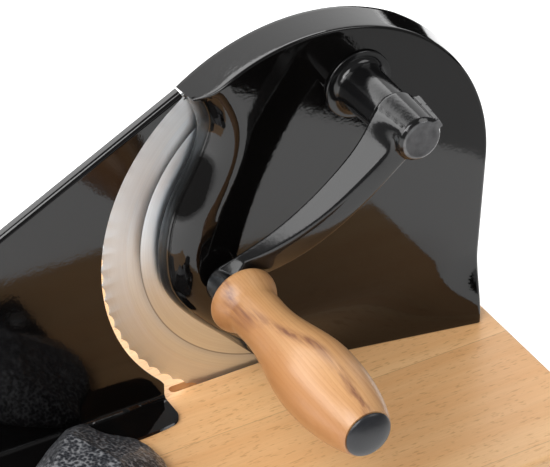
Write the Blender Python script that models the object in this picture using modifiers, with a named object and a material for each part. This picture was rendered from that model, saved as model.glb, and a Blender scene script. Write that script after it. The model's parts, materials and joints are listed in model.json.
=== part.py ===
"""Hand-cranked bread slicer, as an assembly at its real size, in metres with +Z up.

A beech board carries a pressed steel housing, open at the back. Behind its face a scalloped disc blade turns
on a fixed axle. The crank drives it through a pinion and a large gear that is riveted to the blade. A sheet
stop plate slides on the board, towards and away from the blade, and sets the thickness of a slice.

The slicer frame has its origin below the blade's centre, on the board's top face: X runs to the right, Y away
from the user and Z up. The drive frame is the same frame stood up, with X right, Y up and Z towards the user,
because nearly everything on the drive is turned or cut flat about an axis that points to the user.
"""

import math

import bmesh
import bpy
import numpy as np
from mathutils import Vector

MM = 0.001
TURN = 2 * math.pi

# Clearances
SEAT_GAP = 0.3 * MM
RUNNING_GAP = 0.2 * MM
BLADE_SLOT_GAP = 1.55 * MM
SWEEP_GAP = 1.9 * MM
EDGE_BREAK = 1 * MM
WELD = 0.001 * MM
AXIS_WELD = 0.01 * MM
FRAME_SIZE = 20 * MM

# Base board and feet
BOARD_THICKNESS = 18 * MM
BOARD_LEFT = 235 * MM
BOARD_RIGHT = 95.5 * MM
BOARD_FRONT = 122.3 * MM
BOARD_BACK = 113 * MM
BOARD_EDGE_ROUND = 1.6 * MM
FOOT_HEIGHT = 7 * MM
FOOT_RADIUS = 12 * MM
FOOT_TOP_RADIUS = 9.5 * MM
FOOT_INSET = 20 * MM
FOOT_RECESS = 3.4 * MM
WOOD_SCREW_RADIUS = 2 * MM
WOOD_SCREW_HEAD_RADIUS = 4 * MM
WOOD_SCREW_HEAD = 2 * MM
WOOD_SCREW_LENGTH = 11 * MM

# Blade
BLADE_RADIUS = 95 * MM
BLADE_THICKNESS = 1.5 * MM
BLADE_HEIGHT = 78.7 * MM
SCALLOPS = 72
SCALLOP_DEPTH = 1.2 * MM
SCALLOP_POINTS = 4
GROUND_BAND = 12 * MM
EDGE_THICKNESS = 0.4 * MM
SLOT_END_GAP = 9.8 * MM

# Blade hub, axle and rivets
AXLE_RADIUS = 5 * MM
AXLE_HEAD_RADIUS = 8.5 * MM
AXLE_HEAD = 2 * MM
HUB_WALL = 5 * MM
HUB_FLANGE_RADIUS = 29 * MM
HUB_FLANGE = 1.6 * MM
RIVET_RADIUS = 1.6 * MM
RIVET_HEAD_RADIUS = 3.2 * MM
RIVET_HEAD = 1.2 * MM
RIVET_CIRCLE = 22.5 * MM
RIVETS = 4
AXLE_SCREW_RADIUS = 2.5 * MM
AXLE_SCREW_HEAD_RADIUS = 9.5 * MM
AXLE_SCREW_HEAD = 3.4 * MM
AXLE_SCREW_LENGTH = 9 * MM
COIN_SLOT = 2 * MM

# Head shapes, as shares of a head's radius and height, and angles round its crown
DOME_SHAPE = ((0, 1), (0.6, 0.85), (1, 0.3))
PAN_RIM = 0.35
PAN_ANGLES = (0.0, 0.8)
CAP_ANGLES = (0.15, 0.45, 0.8, 1.2)

# Gear pair: the crank's axis lies a fixed inset inside the blade's edge, and the module follows from it
CRANK_INSET = 21.5 * MM
GEAR_TEETH = 74
PINION_TEETH = 24
GEAR_WIDTH = 6 * MM
PRESSURE_ANGLE = math.radians(20)
BACKLASH = 0.16 * MM
ROOT_DEPTH = 1.25
FLANK_POINTS = 3
CRANK_BEARING = math.radians(74.26)

# Housing
WALL = 1.5 * MM
FACE_DEPTH = 20 * MM
RIM_BACK = 2 * MM
FACE_CENTRE_RAISE = 11.3 * MM
FACE_INSET = 5 * MM
RIM_CLEARANCE = 3.9 * MM
RIM_SHIFT = 1.5 * MM
FOLD_RADIUS = 2.4 * MM
LIP_DEPTH = 3.8 * MM
LIP_ROLL = 15 * MM
BLADE_SHOW = 26 * MM
TIP_ANGLE = math.radians(124.8)
TIP_REACH = 1.1 * MM
NECK_START_INSET = 17.8 * MM
NECK_START_ANGLE = math.radians(125.5)
NECK_END_INSET = 22.5 * MM
NECK_END_ANGLE = math.radians(132.3)
LIP_ARC_START = math.radians(150)
LIP_ARC_END = math.radians(190)
LIP_BEND_INSET = 30.3 * MM
LIP_BEND_ANGLE = math.radians(230)
LIP_BEND_RUN = 15 * MM
RIM_START = math.radians(128.2)
RIM_BACK_START = math.radians(125.5)
FOOT_LEFT_EDGE = 14.8 * MM
WALL_FOOT_FRONT = 87.5 * MM
WALL_FOOT_BACK = 92 * MM
FLARE_SLOPE = 0.194
FLARE_CENTRE = 51 * MM
FLARE_HEIGHT = 38 * MM
HOUSING_ROWS = 30
ROLL_COLUMNS = 6
FACE_COLUMNS = 3
FOLD_COLUMNS = 3
RIM_COLUMNS = 2
MOST_ROLL = 0.62
ROW_CROWDING = 1.4
LINE_POINTS = 24
LIP_CHECKS = 40

# Frame plate behind the face
PLATE_THICKNESS = 3 * MM
PLATE_GAP = 2.2 * MM
PLATE_FOOT_LEFT = 26 * MM
PLATE_FOOT_RIGHT = 80 * MM
PLATE_FOOT_BACK = 3.2 * MM
FOOT_BEND = 1 * MM
PLATE_CORNER = 8 * MM
SPACER_RADIUS = 5 * MM
SPACER_SHARES = (
    (-0.2632, 0.7474),
    (0.6526, 0.5474),
    (0.7579, -0.4),
)
MACHINE_SCREW_RADIUS = 2 * MM
MACHINE_SCREW_HEAD_RADIUS = 3.8 * MM
MACHINE_SCREW_HEAD = 1.6 * MM
FOOT_SCREW_INSET = 12 * MM

# Crank bearing
BOSS_RADIUS = 10 * MM
BOSS_BASE_RADIUS = 13.8 * MM
BOSS_FLARE = 7 * MM
BOSS_LENGTH = 27.7 * MM
SPIGOT_RADIUS = 7.5 * MM
BOSS_NUT_RADIUS = 11.5 * MM
BOSS_NUT = 4 * MM
BUSH_WALL = 2.8 * MM
BUSH_FLANGE_RADIUS = 10 * MM
BUSH_FLANGE = 1.3 * MM

# Crank
SHAFT_RADIUS = 5 * MM
HUB_RADIUS = 11 * MM
HUB_LENGTH = 22.1 * MM
HUB_CHAMFER = 2 * MM
HUB_END_WALL = 3.5 * MM
CRANK_RADIUS = 102.42 * MM
CRANK_ANGLE = math.radians(229.064)
ARM_END_RADIUS = 9.8 * MM
ARM_END_BACK = 24.3 * MM
ARM_END_THICKNESS = 12 * MM
ARM_BACK_BULGE = 0.22 * MM
ARM_BACK_DIP = 18.95 * MM
ARM_BACK_LEVEL = 0.9
ARM_FRONT_STEP = 4.1 * MM
ARM_FRONT_DROP = 8.4 * MM
ARM_FRONT_RISE = 22.5 * MM
ARM_LEVEL = 0.87
ARM_HALF_WIDTH = 5.3 * MM
ARM_WIDENING = 1.95 * MM
ARM_EDGE_ROUND = 1.5 * MM
ARM_SECTIONS = 14
ARM_OVERLAP = 0.02
LUG_WIDTH = 4.6 * MM
LUG_RISE = 2.4 * MM
LUG_END_RISE = 0.3 * MM
LUG_FOOT = 1.6 * MM
LUG_CREST = 3.5 * MM
LUG_ANGLE = math.radians(30)
SET_SCREW_ANGLE = math.radians(195)
SET_SCREW_RADIUS = 2 * MM

# Handle
SPINDLE_RADIUS = 4 * MM
SPINDLE_HEAD_RADIUS = 6.5 * MM
SPINDLE_HEAD = 3 * MM
WASHER_THICKNESS = 1 * MM
HANDLE_LENGTH = 104 * MM
GRIP_STEPS = 26
BEAD_RADIUS = 15.5 * MM
KNOT_RADIUS = 11.75 * MM
NECK_RADIUS = 11.6 * MM
BELLY_RADIUS = 17.7 * MM
GRIP_END_RADIUS = 10.9 * MM
BEAD_AT = 0.022
BEAD_ROUNDING = 0.048
KNOT_AT = 0.13
NECK_AT = 0.21
BELLY_AT = 0.64
CAP_RADIUS = 10.4 * MM
CAP_DOME = 3.4 * MM
CAP_SPIGOT = 6 * MM
CAP_RECESS = 12 * MM
CAP_RECESS_RADIUS = 7.6 * MM

# Stop plate
SHEET = 1.5 * MM
STOP_FRONT = 4.9 * MM
SHEET_STEPS = 14
STOP_MARKS = (0.2, 0.93)
FOLD_ANGLES = (0, 30, 60, 90)
STOP_LEFT = 218 * MM
STOP_UPRIGHT = 9.67 * MM
STOP_UPRIGHT_SHARE = 0.07
STOP_NOSE_PULL = 3 * MM
STOP_TOP_SLOPE = math.radians(27.7)
STOP_TIP_ANGLE = math.radians(126.2)
STOP_TIP_RISE = 3.2 * MM
STOP_FLANGE = 4.8 * MM
BEND_RADIUS = 2.4 * MM
STOP_FOOT_DEPTH = 20 * MM
STOP_FOOT_CORNER = 5 * MM
TONGUE_CENTRE = 127 * MM
TONGUE_HALF_WIDTH = 32.7 * MM
TONGUE_FRONT = 106 * MM
STOP_OPEN = 15.5 * MM
STOP_CLOSE = 2.5 * MM

# Clamp bracket, guides and lock
BRACKET_HEIGHT = 22 * MM
BRACKET_FRONT = 64 * MM
BASE_SIDE = (
    (-117.5 * MM, -7.7 * MM),
    (-108.7 * MM, -7.8 * MM),
    (-106.2 * MM, -13.0 * MM),
    (-103.6 * MM, -17.6 * MM),
    (-99.2 * MM, -21.6 * MM),
    (-93.6 * MM, -27.0 * MM),
    (-90.8 * MM, -34.0 * MM),
    (-89.4 * MM, -45.5 * MM),
    (-92.0 * MM, -61.0 * MM),
    (-103.0 * MM, -64.0 * MM),
    (-127.0 * MM, -64.0 * MM),
    (-148.0 * MM, -63.0 * MM),
    (-156.0 * MM, -54.0 * MM),
    (-155.0 * MM, -42.0 * MM),
    (-146.0 * MM, -27.0 * MM),
    (-131.0 * MM, -15.0 * MM),
)
CROWN_SIDE = (
    (-127.2 * MM, -28.0 * MM),
    (-126.0 * MM, -28.0 * MM),
    (-124.8 * MM, -31.5 * MM),
    (-123.2 * MM, -35.5 * MM),
    (-121.2 * MM, -40.5 * MM),
    (-119.2 * MM, -45.5 * MM),
    (-117.2 * MM, -50.5 * MM),
    (-115.3 * MM, -55.5 * MM),
    (-117.0 * MM, -58.5 * MM),
    (-121.0 * MM, -60.0 * MM),
    (-128.0 * MM, -60.0 * MM),
    (-140.0 * MM, -58.5 * MM),
    (-144.5 * MM, -53.0 * MM),
    (-143.5 * MM, -45.5 * MM),
    (-137.0 * MM, -38.5 * MM),
    (-131.5 * MM, -32.5 * MM),
)
BRACKET_FLANK = ((0, 0), (0.14, 0.02), (0.35, 0.22), (0.65, 0.58), (0.9, 0.92), (1, 1))
DECK_HEIGHT = 8 * MM
DECK_HALF_WIDTH = 17 * MM
STUD_RADIUS = 4 * MM
STUD_PLACE = 95.5 * MM
INSERT_RADIUS = 6 * MM
INSERT_LENGTH = 12 * MM
LOCK_WASHER_RADIUS = 9 * MM
LOCK_WASHER = 1.4 * MM
KNOB_RADIUS = 15 * MM
KNOB_HEIGHT = 13 * MM
KNOB_LOBES = 6
KNOB_LOBE_DEPTH = 1.5 * MM
LOBE_POINTS = 8
KNOB_WALL = 3 * MM
BRACKET_RIVET_OFFSET = 12.8 * MM
BRACKET_RIVET_PLACE = 99 * MM
GUIDE_OFFSET = 25 * MM
GUIDE_PLACE = 88 * MM
GUIDE_RADIUS = 3 * MM
GUIDE_HEAD_RADIUS = 5.2 * MM
GUIDE_HEAD = 2.6 * MM

# Worked out from the sizes above
BLADE_HALF = BLADE_THICKNESS / 2
CRANK_DISTANCE = BLADE_RADIUS - CRANK_INSET
GEAR_MODULE = 2 * CRANK_DISTANCE / (GEAR_TEETH + PINION_TEETH)
CRANK_X = CRANK_DISTANCE * math.cos(CRANK_BEARING)
CRANK_Y = BLADE_HEIGHT + CRANK_DISTANCE * math.sin(CRANK_BEARING)
GEAR_BACK = BLADE_HALF + SEAT_GAP
GEAR_FRONT = GEAR_BACK + GEAR_WIDTH
PLATE_BACK = GEAR_FRONT + PLATE_GAP
PLATE_FRONT = PLATE_BACK + PLATE_THICKNESS
BOSS_BACK = FACE_DEPTH + SEAT_GAP
BOSS_FRONT = BOSS_BACK + BOSS_LENGTH
HUB_BACK = BOSS_FRONT + SEAT_GAP
HUB_FRONT = HUB_BACK + HUB_LENGTH
ARM_END_FRONT = ARM_END_BACK + ARM_END_THICKNESS
WASHER_BACK = ARM_END_FRONT + SEAT_GAP
GRIP_BACK = WASHER_BACK + WASHER_THICKNESS + SEAT_GAP
GRIP_FRONT = GRIP_BACK + HANDLE_LENGTH
HANDLE_X = CRANK_RADIUS * math.cos(CRANK_ANGLE)
HANDLE_Y = CRANK_RADIUS * math.sin(CRANK_ANGLE)
STOP_RADIUS = BLADE_RADIUS + SWEEP_GAP
STOP_RIGHT = math.sqrt(STOP_RADIUS**2 - (BLADE_HEIGHT - STOP_UPRIGHT) ** 2)
RIM_RADIUS = BLADE_RADIUS + RIM_CLEARANCE
FACE_RADIUS = BLADE_RADIUS - FACE_INSET
HOUSING_RIGHT = RIM_SHIFT + RIM_RADIUS
CENTRE_X = (max(HOUSING_RIGHT, BOARD_RIGHT) - max(BOARD_LEFT, STOP_LEFT)) / 2
CENTRE_Y = (BOARD_BACK - max(BOARD_FRONT, GRIP_FRONT + CAP_DOME + SEAT_GAP)) / 2


# Scene, materials and helpers


def clear_scene():
    for thing in list(bpy.data.objects):
        bpy.data.objects.remove(thing, do_unlink=True)


def new_collection(name):
    made = bpy.data.collections.new(name)
    bpy.context.scene.collection.children.link(made)
    return made


def material(name, colour, roughness, metallic=0.0):
    made = bpy.data.materials.new(name)
    made.use_nodes = True
    shader = made.node_tree.nodes["Principled BSDF"]
    shader.inputs["Base Color"].default_value = (*colour, 1.0)
    shader.inputs["Roughness"].default_value = roughness
    shader.inputs["Metallic"].default_value = metallic
    made.diffuse_color = (*colour, 1.0)
    return made


def empty(name, place, parent=None, stood_up=False):
    """An empty that carries a frame. Stood up, its Z points to the user and its Y up."""
    made = bpy.data.objects.new(name, None)
    PARTS.objects.link(made)
    made.location = place
    made.parent = parent
    made.rotation_euler.x = math.pi / 2 if stood_up else 0
    made.empty_display_size = FRAME_SIZE
    return made


def add(name, data, parent, paint, place=(0, 0, 0)):
    """A named sub-part in the collection, with its paint, under its parent empty."""
    made = bpy.data.objects.new(name, data)
    PARTS.objects.link(made)
    made.parent = parent
    made.location = place
    if paint:
        data.materials.append(paint)
    return made


def as_cutter(made):
    """Turns an object into a hidden tool for a Boolean."""
    PARTS.objects.unlink(made)
    CUTTERS.objects.link(made)
    made.hide_render = True
    made.display_type = "WIRE"
    return made


def cut(target, tool, operation="DIFFERENCE"):
    modifier = target.modifiers.new(tool.name, "BOOLEAN")
    modifier.operation = operation
    modifier.object = as_cutter(tool)


def smooth(made, angle=35):
    made.data.shade_smooth()
    made.data.set_sharp_from_angle(angle=math.radians(angle))


def clockwise(points):
    """The outline in the order that a Screw needs: down its outer side."""
    area = sum(a[0] * b[1] - b[0] * a[1] for a, b in zip(points, points[1:] + points[:1]))
    return points if area < 0 else points[::-1]


def turned(name, profile, parent, paint, place=(0, 0, 0), steps=24):
    """A turned piece: profile is (radius, height) round a closed outline, or from axis to axis."""
    profile = clockwise(list(profile))
    closed = min(radius for radius, _ in profile) > 0
    if not closed:
        while not (profile[0][0] == 0 and profile[-1][0] == 0):
            profile = profile[1:] + profile[:1]
    count = len(profile)
    edges = [(i, (i + 1) % count) for i in range(count if closed else count - 1)]
    mesh = bpy.data.meshes.new(name)
    mesh.from_pydata([(radius, 0, height) for radius, height in profile], edges, [])
    made = add(name, mesh, parent, paint, place)
    screw = made.modifiers.new("Turn", "SCREW")
    screw.axis = "Z"
    screw.steps = screw.render_steps = steps
    screw.use_merge_vertices = True
    screw.merge_threshold = AXIS_WELD
    screw.use_smooth_shade = True
    return made


def arc(centre, radius, start, end, count):
    """Points on an arc in degrees, both ends included."""
    angles = [math.radians(start + (end - start) * i / count) for i in range(count + 1)]
    return [(centre[0] + radius * math.cos(a), centre[1] + radius * math.sin(a)) for a in angles]


def circle(centre, radius, count=24):
    return arc(centre, radius, 0, 360, count)[:-1]


def stadium(centre, half_length, radius, count=8):
    """A slot outline along Y: two half circles joined by straight sides."""
    x, y = centre
    top = arc((x, y + half_length), radius, 0, 180, count)
    return top + arc((x, y - half_length), radius, 180, 360, count)


def bezier(a, b, c, d, t):
    """A point on a cubic curve from a to d, with b and c as its handles."""
    weights = ((1 - t) ** 3, 3 * t * (1 - t) ** 2, 3 * t * t * (1 - t), t**3)
    return sum(weight * point for weight, point in zip(weights, (a, b, c, d)))


def flat(name, outlines, low, high, parent, paint, place=(0, 0, 0)):
    """A flat piece from closed outlines, the first its edge and the others its holes, from low to high."""
    curve = bpy.data.curves.new(name, "CURVE")
    curve.dimensions = "2D"
    curve.fill_mode = "BOTH"
    curve.extrude = (high - low) / 2
    for outline in outlines:
        spline = curve.splines.new("POLY")
        spline.points.add(len(outline) - 1)
        for point, (x, y) in zip(spline.points, outline):
            point.co = (x, y, 0, 1)
        spline.use_cyclic_u = True
    x, y, z = place
    return add(name, curve, parent, paint, (x, y, z + (low + high) / 2))


def made_mesh(source):
    """The mesh of a curve object, welded, under the same name, parent and place."""
    bpy.context.view_layer.update()
    evaluated = source.evaluated_get(bpy.context.evaluated_depsgraph_get())
    mesh = bpy.data.meshes.new_from_object(evaluated)
    welded = bmesh.new()
    welded.from_mesh(mesh)
    bmesh.ops.remove_doubles(welded, verts=welded.verts, dist=WELD)
    bmesh.ops.recalc_face_normals(welded, faces=welded.faces)
    welded.to_mesh(mesh)
    welded.free()
    name, parent, place = source.name, source.parent, source.location.copy()
    bpy.data.objects.remove(source)
    return add(name, mesh, parent, None, place)


def block(name, low, high, parent, paint=None):
    """A box from its lowest to its highest corner, with its scale in the mesh."""
    bpy.ops.mesh.primitive_cube_add(size=1)
    made = bpy.context.active_object
    for collection in list(made.users_collection):
        collection.objects.unlink(made)
    PARTS.objects.link(made)
    made.name = made.data.name = name
    size = Vector(high) - Vector(low)
    for vertex in made.data.vertices:
        vertex.co = Vector(low) + Vector([(c + 0.5) * s for c, s in zip(vertex.co, size)])
    made.parent = parent
    if paint:
        made.data.materials.append(paint)
    return made


def bevel(made, width, segments=2):
    modifier = made.modifiers.new("Rounded edges", "BEVEL")
    modifier.width = width
    modifier.segments = segments
    modifier.limit_method = "ANGLE"
    return modifier


# Screws and rivets


def pan_screw(name, parent, place, paint, sizes, steps=12):
    """A screw along its frame's Z, its head seated at zero and pointing up, its shank below."""
    shank_radius, length, head_radius, head = sizes
    rim = PAN_RIM * head
    dome = [(head_radius * math.cos(a), rim + (head - rim) * math.sin(a)) for a in PAN_ANGLES]
    profile = [(0, head)] + dome[::-1] + [(head_radius, 0), (shank_radius, 0), (shank_radius, -length)]
    return turned(name, profile + [(0, -length)], parent, paint, place, steps)


def head_dome(seat, radius, height, way):
    """A low dome as (radius, height) points from its top to its rim, above its seat or, with way -1, below."""
    return [(radius * reach, seat + way * height * rise) for reach, rise in DOME_SHAPE]


def rivet(name, parent, place, paint, grip, radius, head_radius, head):
    """A rivet along its frame's Z with a head at each end of its grip, which runs down from zero."""
    profile = head_dome(0, head_radius, head, 1) + [(head_radius, 0), (radius, 0), (radius, -grip)]
    profile += [(head_radius, -grip)] + head_dome(-grip, head_radius, head, -1)[::-1]
    return turned(name, profile, parent, paint, place, 10)


# Base


def base_board(root, paint):
    board = block(
        "base_board",
        (-BOARD_LEFT, -BOARD_FRONT, -BOARD_THICKNESS),
        (BOARD_RIGHT, BOARD_BACK, 0),
        root,
        paint,
    )
    bevel(board, BOARD_EDGE_ROUND)
    below = -BOARD_THICKNESS - SHEET
    half_chord = math.sqrt(max(BLADE_RADIUS**2 - BLADE_HEIGHT**2, 0)) + SLOT_END_GAP
    slot_radius = BLADE_HALF + BLADE_SLOT_GAP
    slot = [(y, x) for x, y in stadium((0, 0), half_chord - slot_radius, slot_radius)]
    cut(board, made_mesh(flat("blade_slot", [slot], below, SHEET, root, None)))
    hole = WOOD_SCREW_RADIUS + SEAT_GAP
    for index, (x, y) in enumerate(foot_places(), 1):
        depth = WOOD_SCREW_LENGTH + SEAT_GAP
        tool = flat(f"foot_pilot_{index}", [circle((x, y), hole, 16)], below, depth - BOARD_THICKNESS, root, None)
        cut(board, made_mesh(tool))
    for index, x in enumerate(plate_screw_places(), 1):
        y = -plate_screw_depth()
        tool = flat(f"plate_screw_way_{index}", [circle((x, y), MACHINE_SCREW_RADIUS + SEAT_GAP, 16)],
                    below, SHEET, root, None)
        cut(board, made_mesh(tool))
        sink = MACHINE_SCREW_HEAD_RADIUS + 2 * SEAT_GAP
        top = -BOARD_THICKNESS + MACHINE_SCREW_HEAD + 2 * SEAT_GAP
        tool = flat(f"plate_screw_sink_{index}", [circle((x, y), sink, 20)], below, top, root, None)
        cut(board, made_mesh(tool))
    tool = flat("insert_seat", [circle((-TONGUE_CENTRE, -STUD_PLACE), INSERT_RADIUS + SEAT_GAP)],
                -INSERT_LENGTH - 2 * SEAT_GAP, SHEET, root, None)
    cut(board, made_mesh(tool))
    for index, side in enumerate((-1, 1), 1):
        place = (-TONGUE_CENTRE + side * GUIDE_OFFSET, -GUIDE_PLACE)
        tool = flat(f"guide_pilot_{index}", [circle(place, GUIDE_RADIUS + SEAT_GAP, 16)],
                    -WOOD_SCREW_LENGTH - SEAT_GAP, SHEET, root, None)
        cut(board, made_mesh(tool))
    return board


def foot_places():
    left, right = -BOARD_LEFT + FOOT_INSET, BOARD_RIGHT - FOOT_INSET
    front, back = -BOARD_FRONT + FOOT_INSET, BOARD_BACK - FOOT_INSET
    return [(left, front), (right, front), (left, back), (right, back)]


def feet(root, rubber, steel):
    top = -BOARD_THICKNESS - SEAT_GAP
    bottom = -BOARD_THICKNESS - FOOT_HEIGHT
    bore = WOOD_SCREW_RADIUS + SEAT_GAP
    recess = WOOD_SCREW_HEAD_RADIUS + SEAT_GAP
    ledge = bottom + FOOT_RECESS
    for index, (x, y) in enumerate(foot_places(), 1):
        profile = [
            (bore, top),
            (FOOT_TOP_RADIUS, top),
            (FOOT_RADIUS, bottom + FOOT_HEIGHT / 4),
            (FOOT_RADIUS - BOARD_EDGE_ROUND, bottom),
            (recess, bottom),
            (recess, ledge),
            (bore, ledge),
        ]
        turned(f"foot_{index}", profile, root, rubber, (x, y, 0), 18)
        sizes = (WOOD_SCREW_RADIUS, WOOD_SCREW_LENGTH, WOOD_SCREW_HEAD_RADIUS, WOOD_SCREW_HEAD)
        screw = pan_screw(f"foot_screw_{index}", root, (x, y, ledge - SEAT_GAP), steel, sizes)
        screw.rotation_euler.x = math.pi


# Housing


def polar(radius, angle):
    """A point at a radius and angle from the blade's centre, in the drive frame."""
    return np.array([radius * math.cos(angle), BLADE_HEIGHT + radius * math.sin(angle)])


def lip_line(count):
    """The housing's left edge: a neck that swings in below the tip, an arc about the blade, and a straight foot."""
    arc_radius = BLADE_RADIUS - BLADE_SHOW
    tip = polar(BLADE_RADIUS + TIP_REACH, TIP_ANGLE)
    neck_start = polar(BLADE_RADIUS - NECK_START_INSET, NECK_START_ANGLE)
    neck_end = polar(BLADE_RADIUS - NECK_END_INSET, NECK_END_ANGLE)
    bend_end = polar(BLADE_RADIUS - LIP_BEND_INSET, LIP_BEND_ANGLE)
    foot = np.array([-FOOT_LEFT_EDGE, SEAT_GAP])
    down = (bend_end - foot) / np.linalg.norm(bend_end - foot)
    along = np.array([-math.sin(LIP_ARC_END), math.cos(LIP_ARC_END)])
    neck = (tip, neck_start, neck_end, polar(arc_radius, LIP_ARC_START))
    bend_start = polar(arc_radius, LIP_ARC_END)
    bend = (bend_start, bend_start + LIP_BEND_RUN * along, bend_end + LIP_BEND_RUN * down, bend_end)
    shares = np.linspace(0, 1, LINE_POINTS, endpoint=False)
    points = [bezier(*neck, share) for share in shares]
    points += [polar(arc_radius, LIP_ARC_START + (LIP_ARC_END - LIP_ARC_START) * share) for share in shares]
    points += [bezier(*bend, share) for share in shares]
    points += [bend_end + (foot - bend_end) * share for share in np.linspace(0, 1, LINE_POINTS)]
    return spread_out(np.array(points), count)


def spread_out(points, count):
    """The same line with its points closer together at its start, where the tip curves most."""
    steps = np.linalg.norm(np.diff(points, axis=0), axis=1)
    travelled = np.concatenate([[0], np.cumsum(steps)])
    wanted = travelled[-1] * np.linspace(0, 1, count) ** ROW_CROWDING
    return np.stack([np.interp(wanted, travelled, points[:, axis]) for axis in (0, 1)], axis=1)


def rim_lines(count):
    """The fold round the face and the rim's back edge, from the tip over the top and down the right wall."""
    share = np.linspace(1, 0, 2 * LINE_POINTS)
    down = np.linspace(1, 0, LINE_POINTS)[1:]
    centre = np.array([0, BLADE_HEIGHT + FACE_CENTRE_RAISE])
    angles = RIM_START * share
    face = centre + FACE_RADIUS * np.stack([np.cos(angles), np.sin(angles)], axis=1)
    foot_front = np.array([WALL_FOOT_FRONT, SEAT_GAP])
    face_wall = foot_front + (face[-1] - foot_front) * down[:, None]
    angles = RIM_BACK_START * share
    back = np.array([RIM_SHIFT, BLADE_HEIGHT]) + RIM_RADIUS * np.stack([np.cos(angles), np.sin(angles)], axis=1)
    across, height = back[-1]
    swing = np.sin(down * math.pi / 2)
    wall_x = WALL_FOOT_BACK + (across - WALL_FOOT_BACK) * swing
    back_wall = np.stack([wall_x, SEAT_GAP + (height - SEAT_GAP) * down], axis=1)
    front = spread_out(np.concatenate([face, face_wall]), count)
    return front, spread_out(np.concatenate([back, back_wall]), count)


def face_depth(points, lip):
    """Depth of the face: it rolls up from the lip as a quarter ellipse, and leans forward at its foot."""
    gaps = np.linalg.norm(points[:, None] - lip[None], axis=2).min(axis=1)
    near = 1 - np.clip(gaps / LIP_ROLL, 0, 1)
    rise = np.sqrt(1 - near**2)
    low = np.clip(1 - points[:, 1] / FLARE_HEIGHT, 0, 1)
    flare = FLARE_SLOPE * (points[:, 0] - FLARE_CENTRE) * low * low * (3 - 2 * low)
    return LIP_DEPTH + (FACE_DEPTH + flare - LIP_DEPTH) * rise


def housing(drive, paint):
    """A pressed shell, lofted in rows from the lip across the face, round the fold and back along the rim."""
    lip = lip_line(HOUSING_ROWS)
    fine_lip = lip_line(HOUSING_ROWS * LIP_CHECKS)
    front, back = rim_lines(HOUSING_ROWS)
    span = np.linalg.norm(front - lip, axis=1)
    roll = np.minimum(LIP_ROLL / np.maximum(span - FOLD_RADIUS, LIP_ROLL), MOST_ROLL)
    shares = [roll * (1 - math.cos(step * math.pi / 2)) for step in np.linspace(0, 1, ROLL_COLUMNS + 1)[1:]]
    shares += [roll + (1 - roll) * step for step in np.linspace(0, 1, FACE_COLUMNS + 1)[1:]]
    inner = 1 - FOLD_RADIUS / span
    grid = [np.column_stack([lip, np.full(HOUSING_ROWS, LIP_DEPTH)])]
    for share in shares:
        line = lip + (front - lip) * (share * inner)[:, None]
        grid.append(np.column_stack([line, face_depth(line, fine_lip)]))
    corner = np.column_stack([front, face_depth(front, fine_lip)])
    end = np.column_stack([back, np.full(HOUSING_ROWS, -RIM_BACK)])
    run = end - corner
    before = grid[-1]
    after = corner + run * (FOLD_RADIUS / np.linalg.norm(run, axis=1))[:, None]
    for step in np.linspace(0, 1, FOLD_COLUMNS + 1)[1:]:
        grid.append(before * (1 - step) ** 2 + corner * 2 * step * (1 - step) + after * step**2)
    for step in np.linspace(0, 1, RIM_COLUMNS + 1)[1:]:
        grid.append(after + (end - after) * step)
    points = np.stack(grid, axis=1).reshape(-1, 3)
    width = len(grid)
    faces = []
    for row in range(HOUSING_ROWS - 1):
        for column in range(width - 1):
            first = row * width + column
            faces.append((first, first + width, first + width + 1, first + 1))
    mesh = bpy.data.meshes.new("housing")
    mesh.from_pydata(points.tolist(), [], faces)
    made = add("housing", mesh, drive, paint)
    wall = made.modifiers.new("Wall", "SOLIDIFY")
    wall.thickness = WALL
    wall.offset = -1
    hole = circle((CRANK_X, CRANK_Y), SPIGOT_RADIUS + SEAT_GAP)
    cut(made, made_mesh(flat("spigot_hole", [hole], PLATE_FRONT, BOSS_FRONT, drive, None)))
    smooth(made, 40)
    return made


# Frame plate, spacers and the screws of the housing


def hull(discs):
    """The outline of a band stretched round discs, given as (x, y, radius)."""
    points = sorted({p for x, y, radius in discs for p in circle((x, y), radius, 24)})
    sides = []
    for run in (points, points[::-1]):
        side = []
        for x, y in run:
            while len(side) > 1:
                (ax, ay), (bx, by) = side[-2], side[-1]
                if (bx - ax) * (y - ay) - (by - ay) * (x - ax) > 0:
                    break
                side.pop()
            side.append((x, y))
        sides += side[:-1]
    return sides


def spacer_places():
    return [(x * BLADE_RADIUS, BLADE_HEIGHT + y * BLADE_RADIUS) for x, y in SPACER_SHARES]


def plate_screw_places():
    return [PLATE_FOOT_LEFT + FOOT_SCREW_INSET, PLATE_FOOT_RIGHT - FOOT_SCREW_INSET]


def plate_screw_depth():
    return (PLATE_FOOT_BACK + PLATE_BACK) / 2


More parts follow.
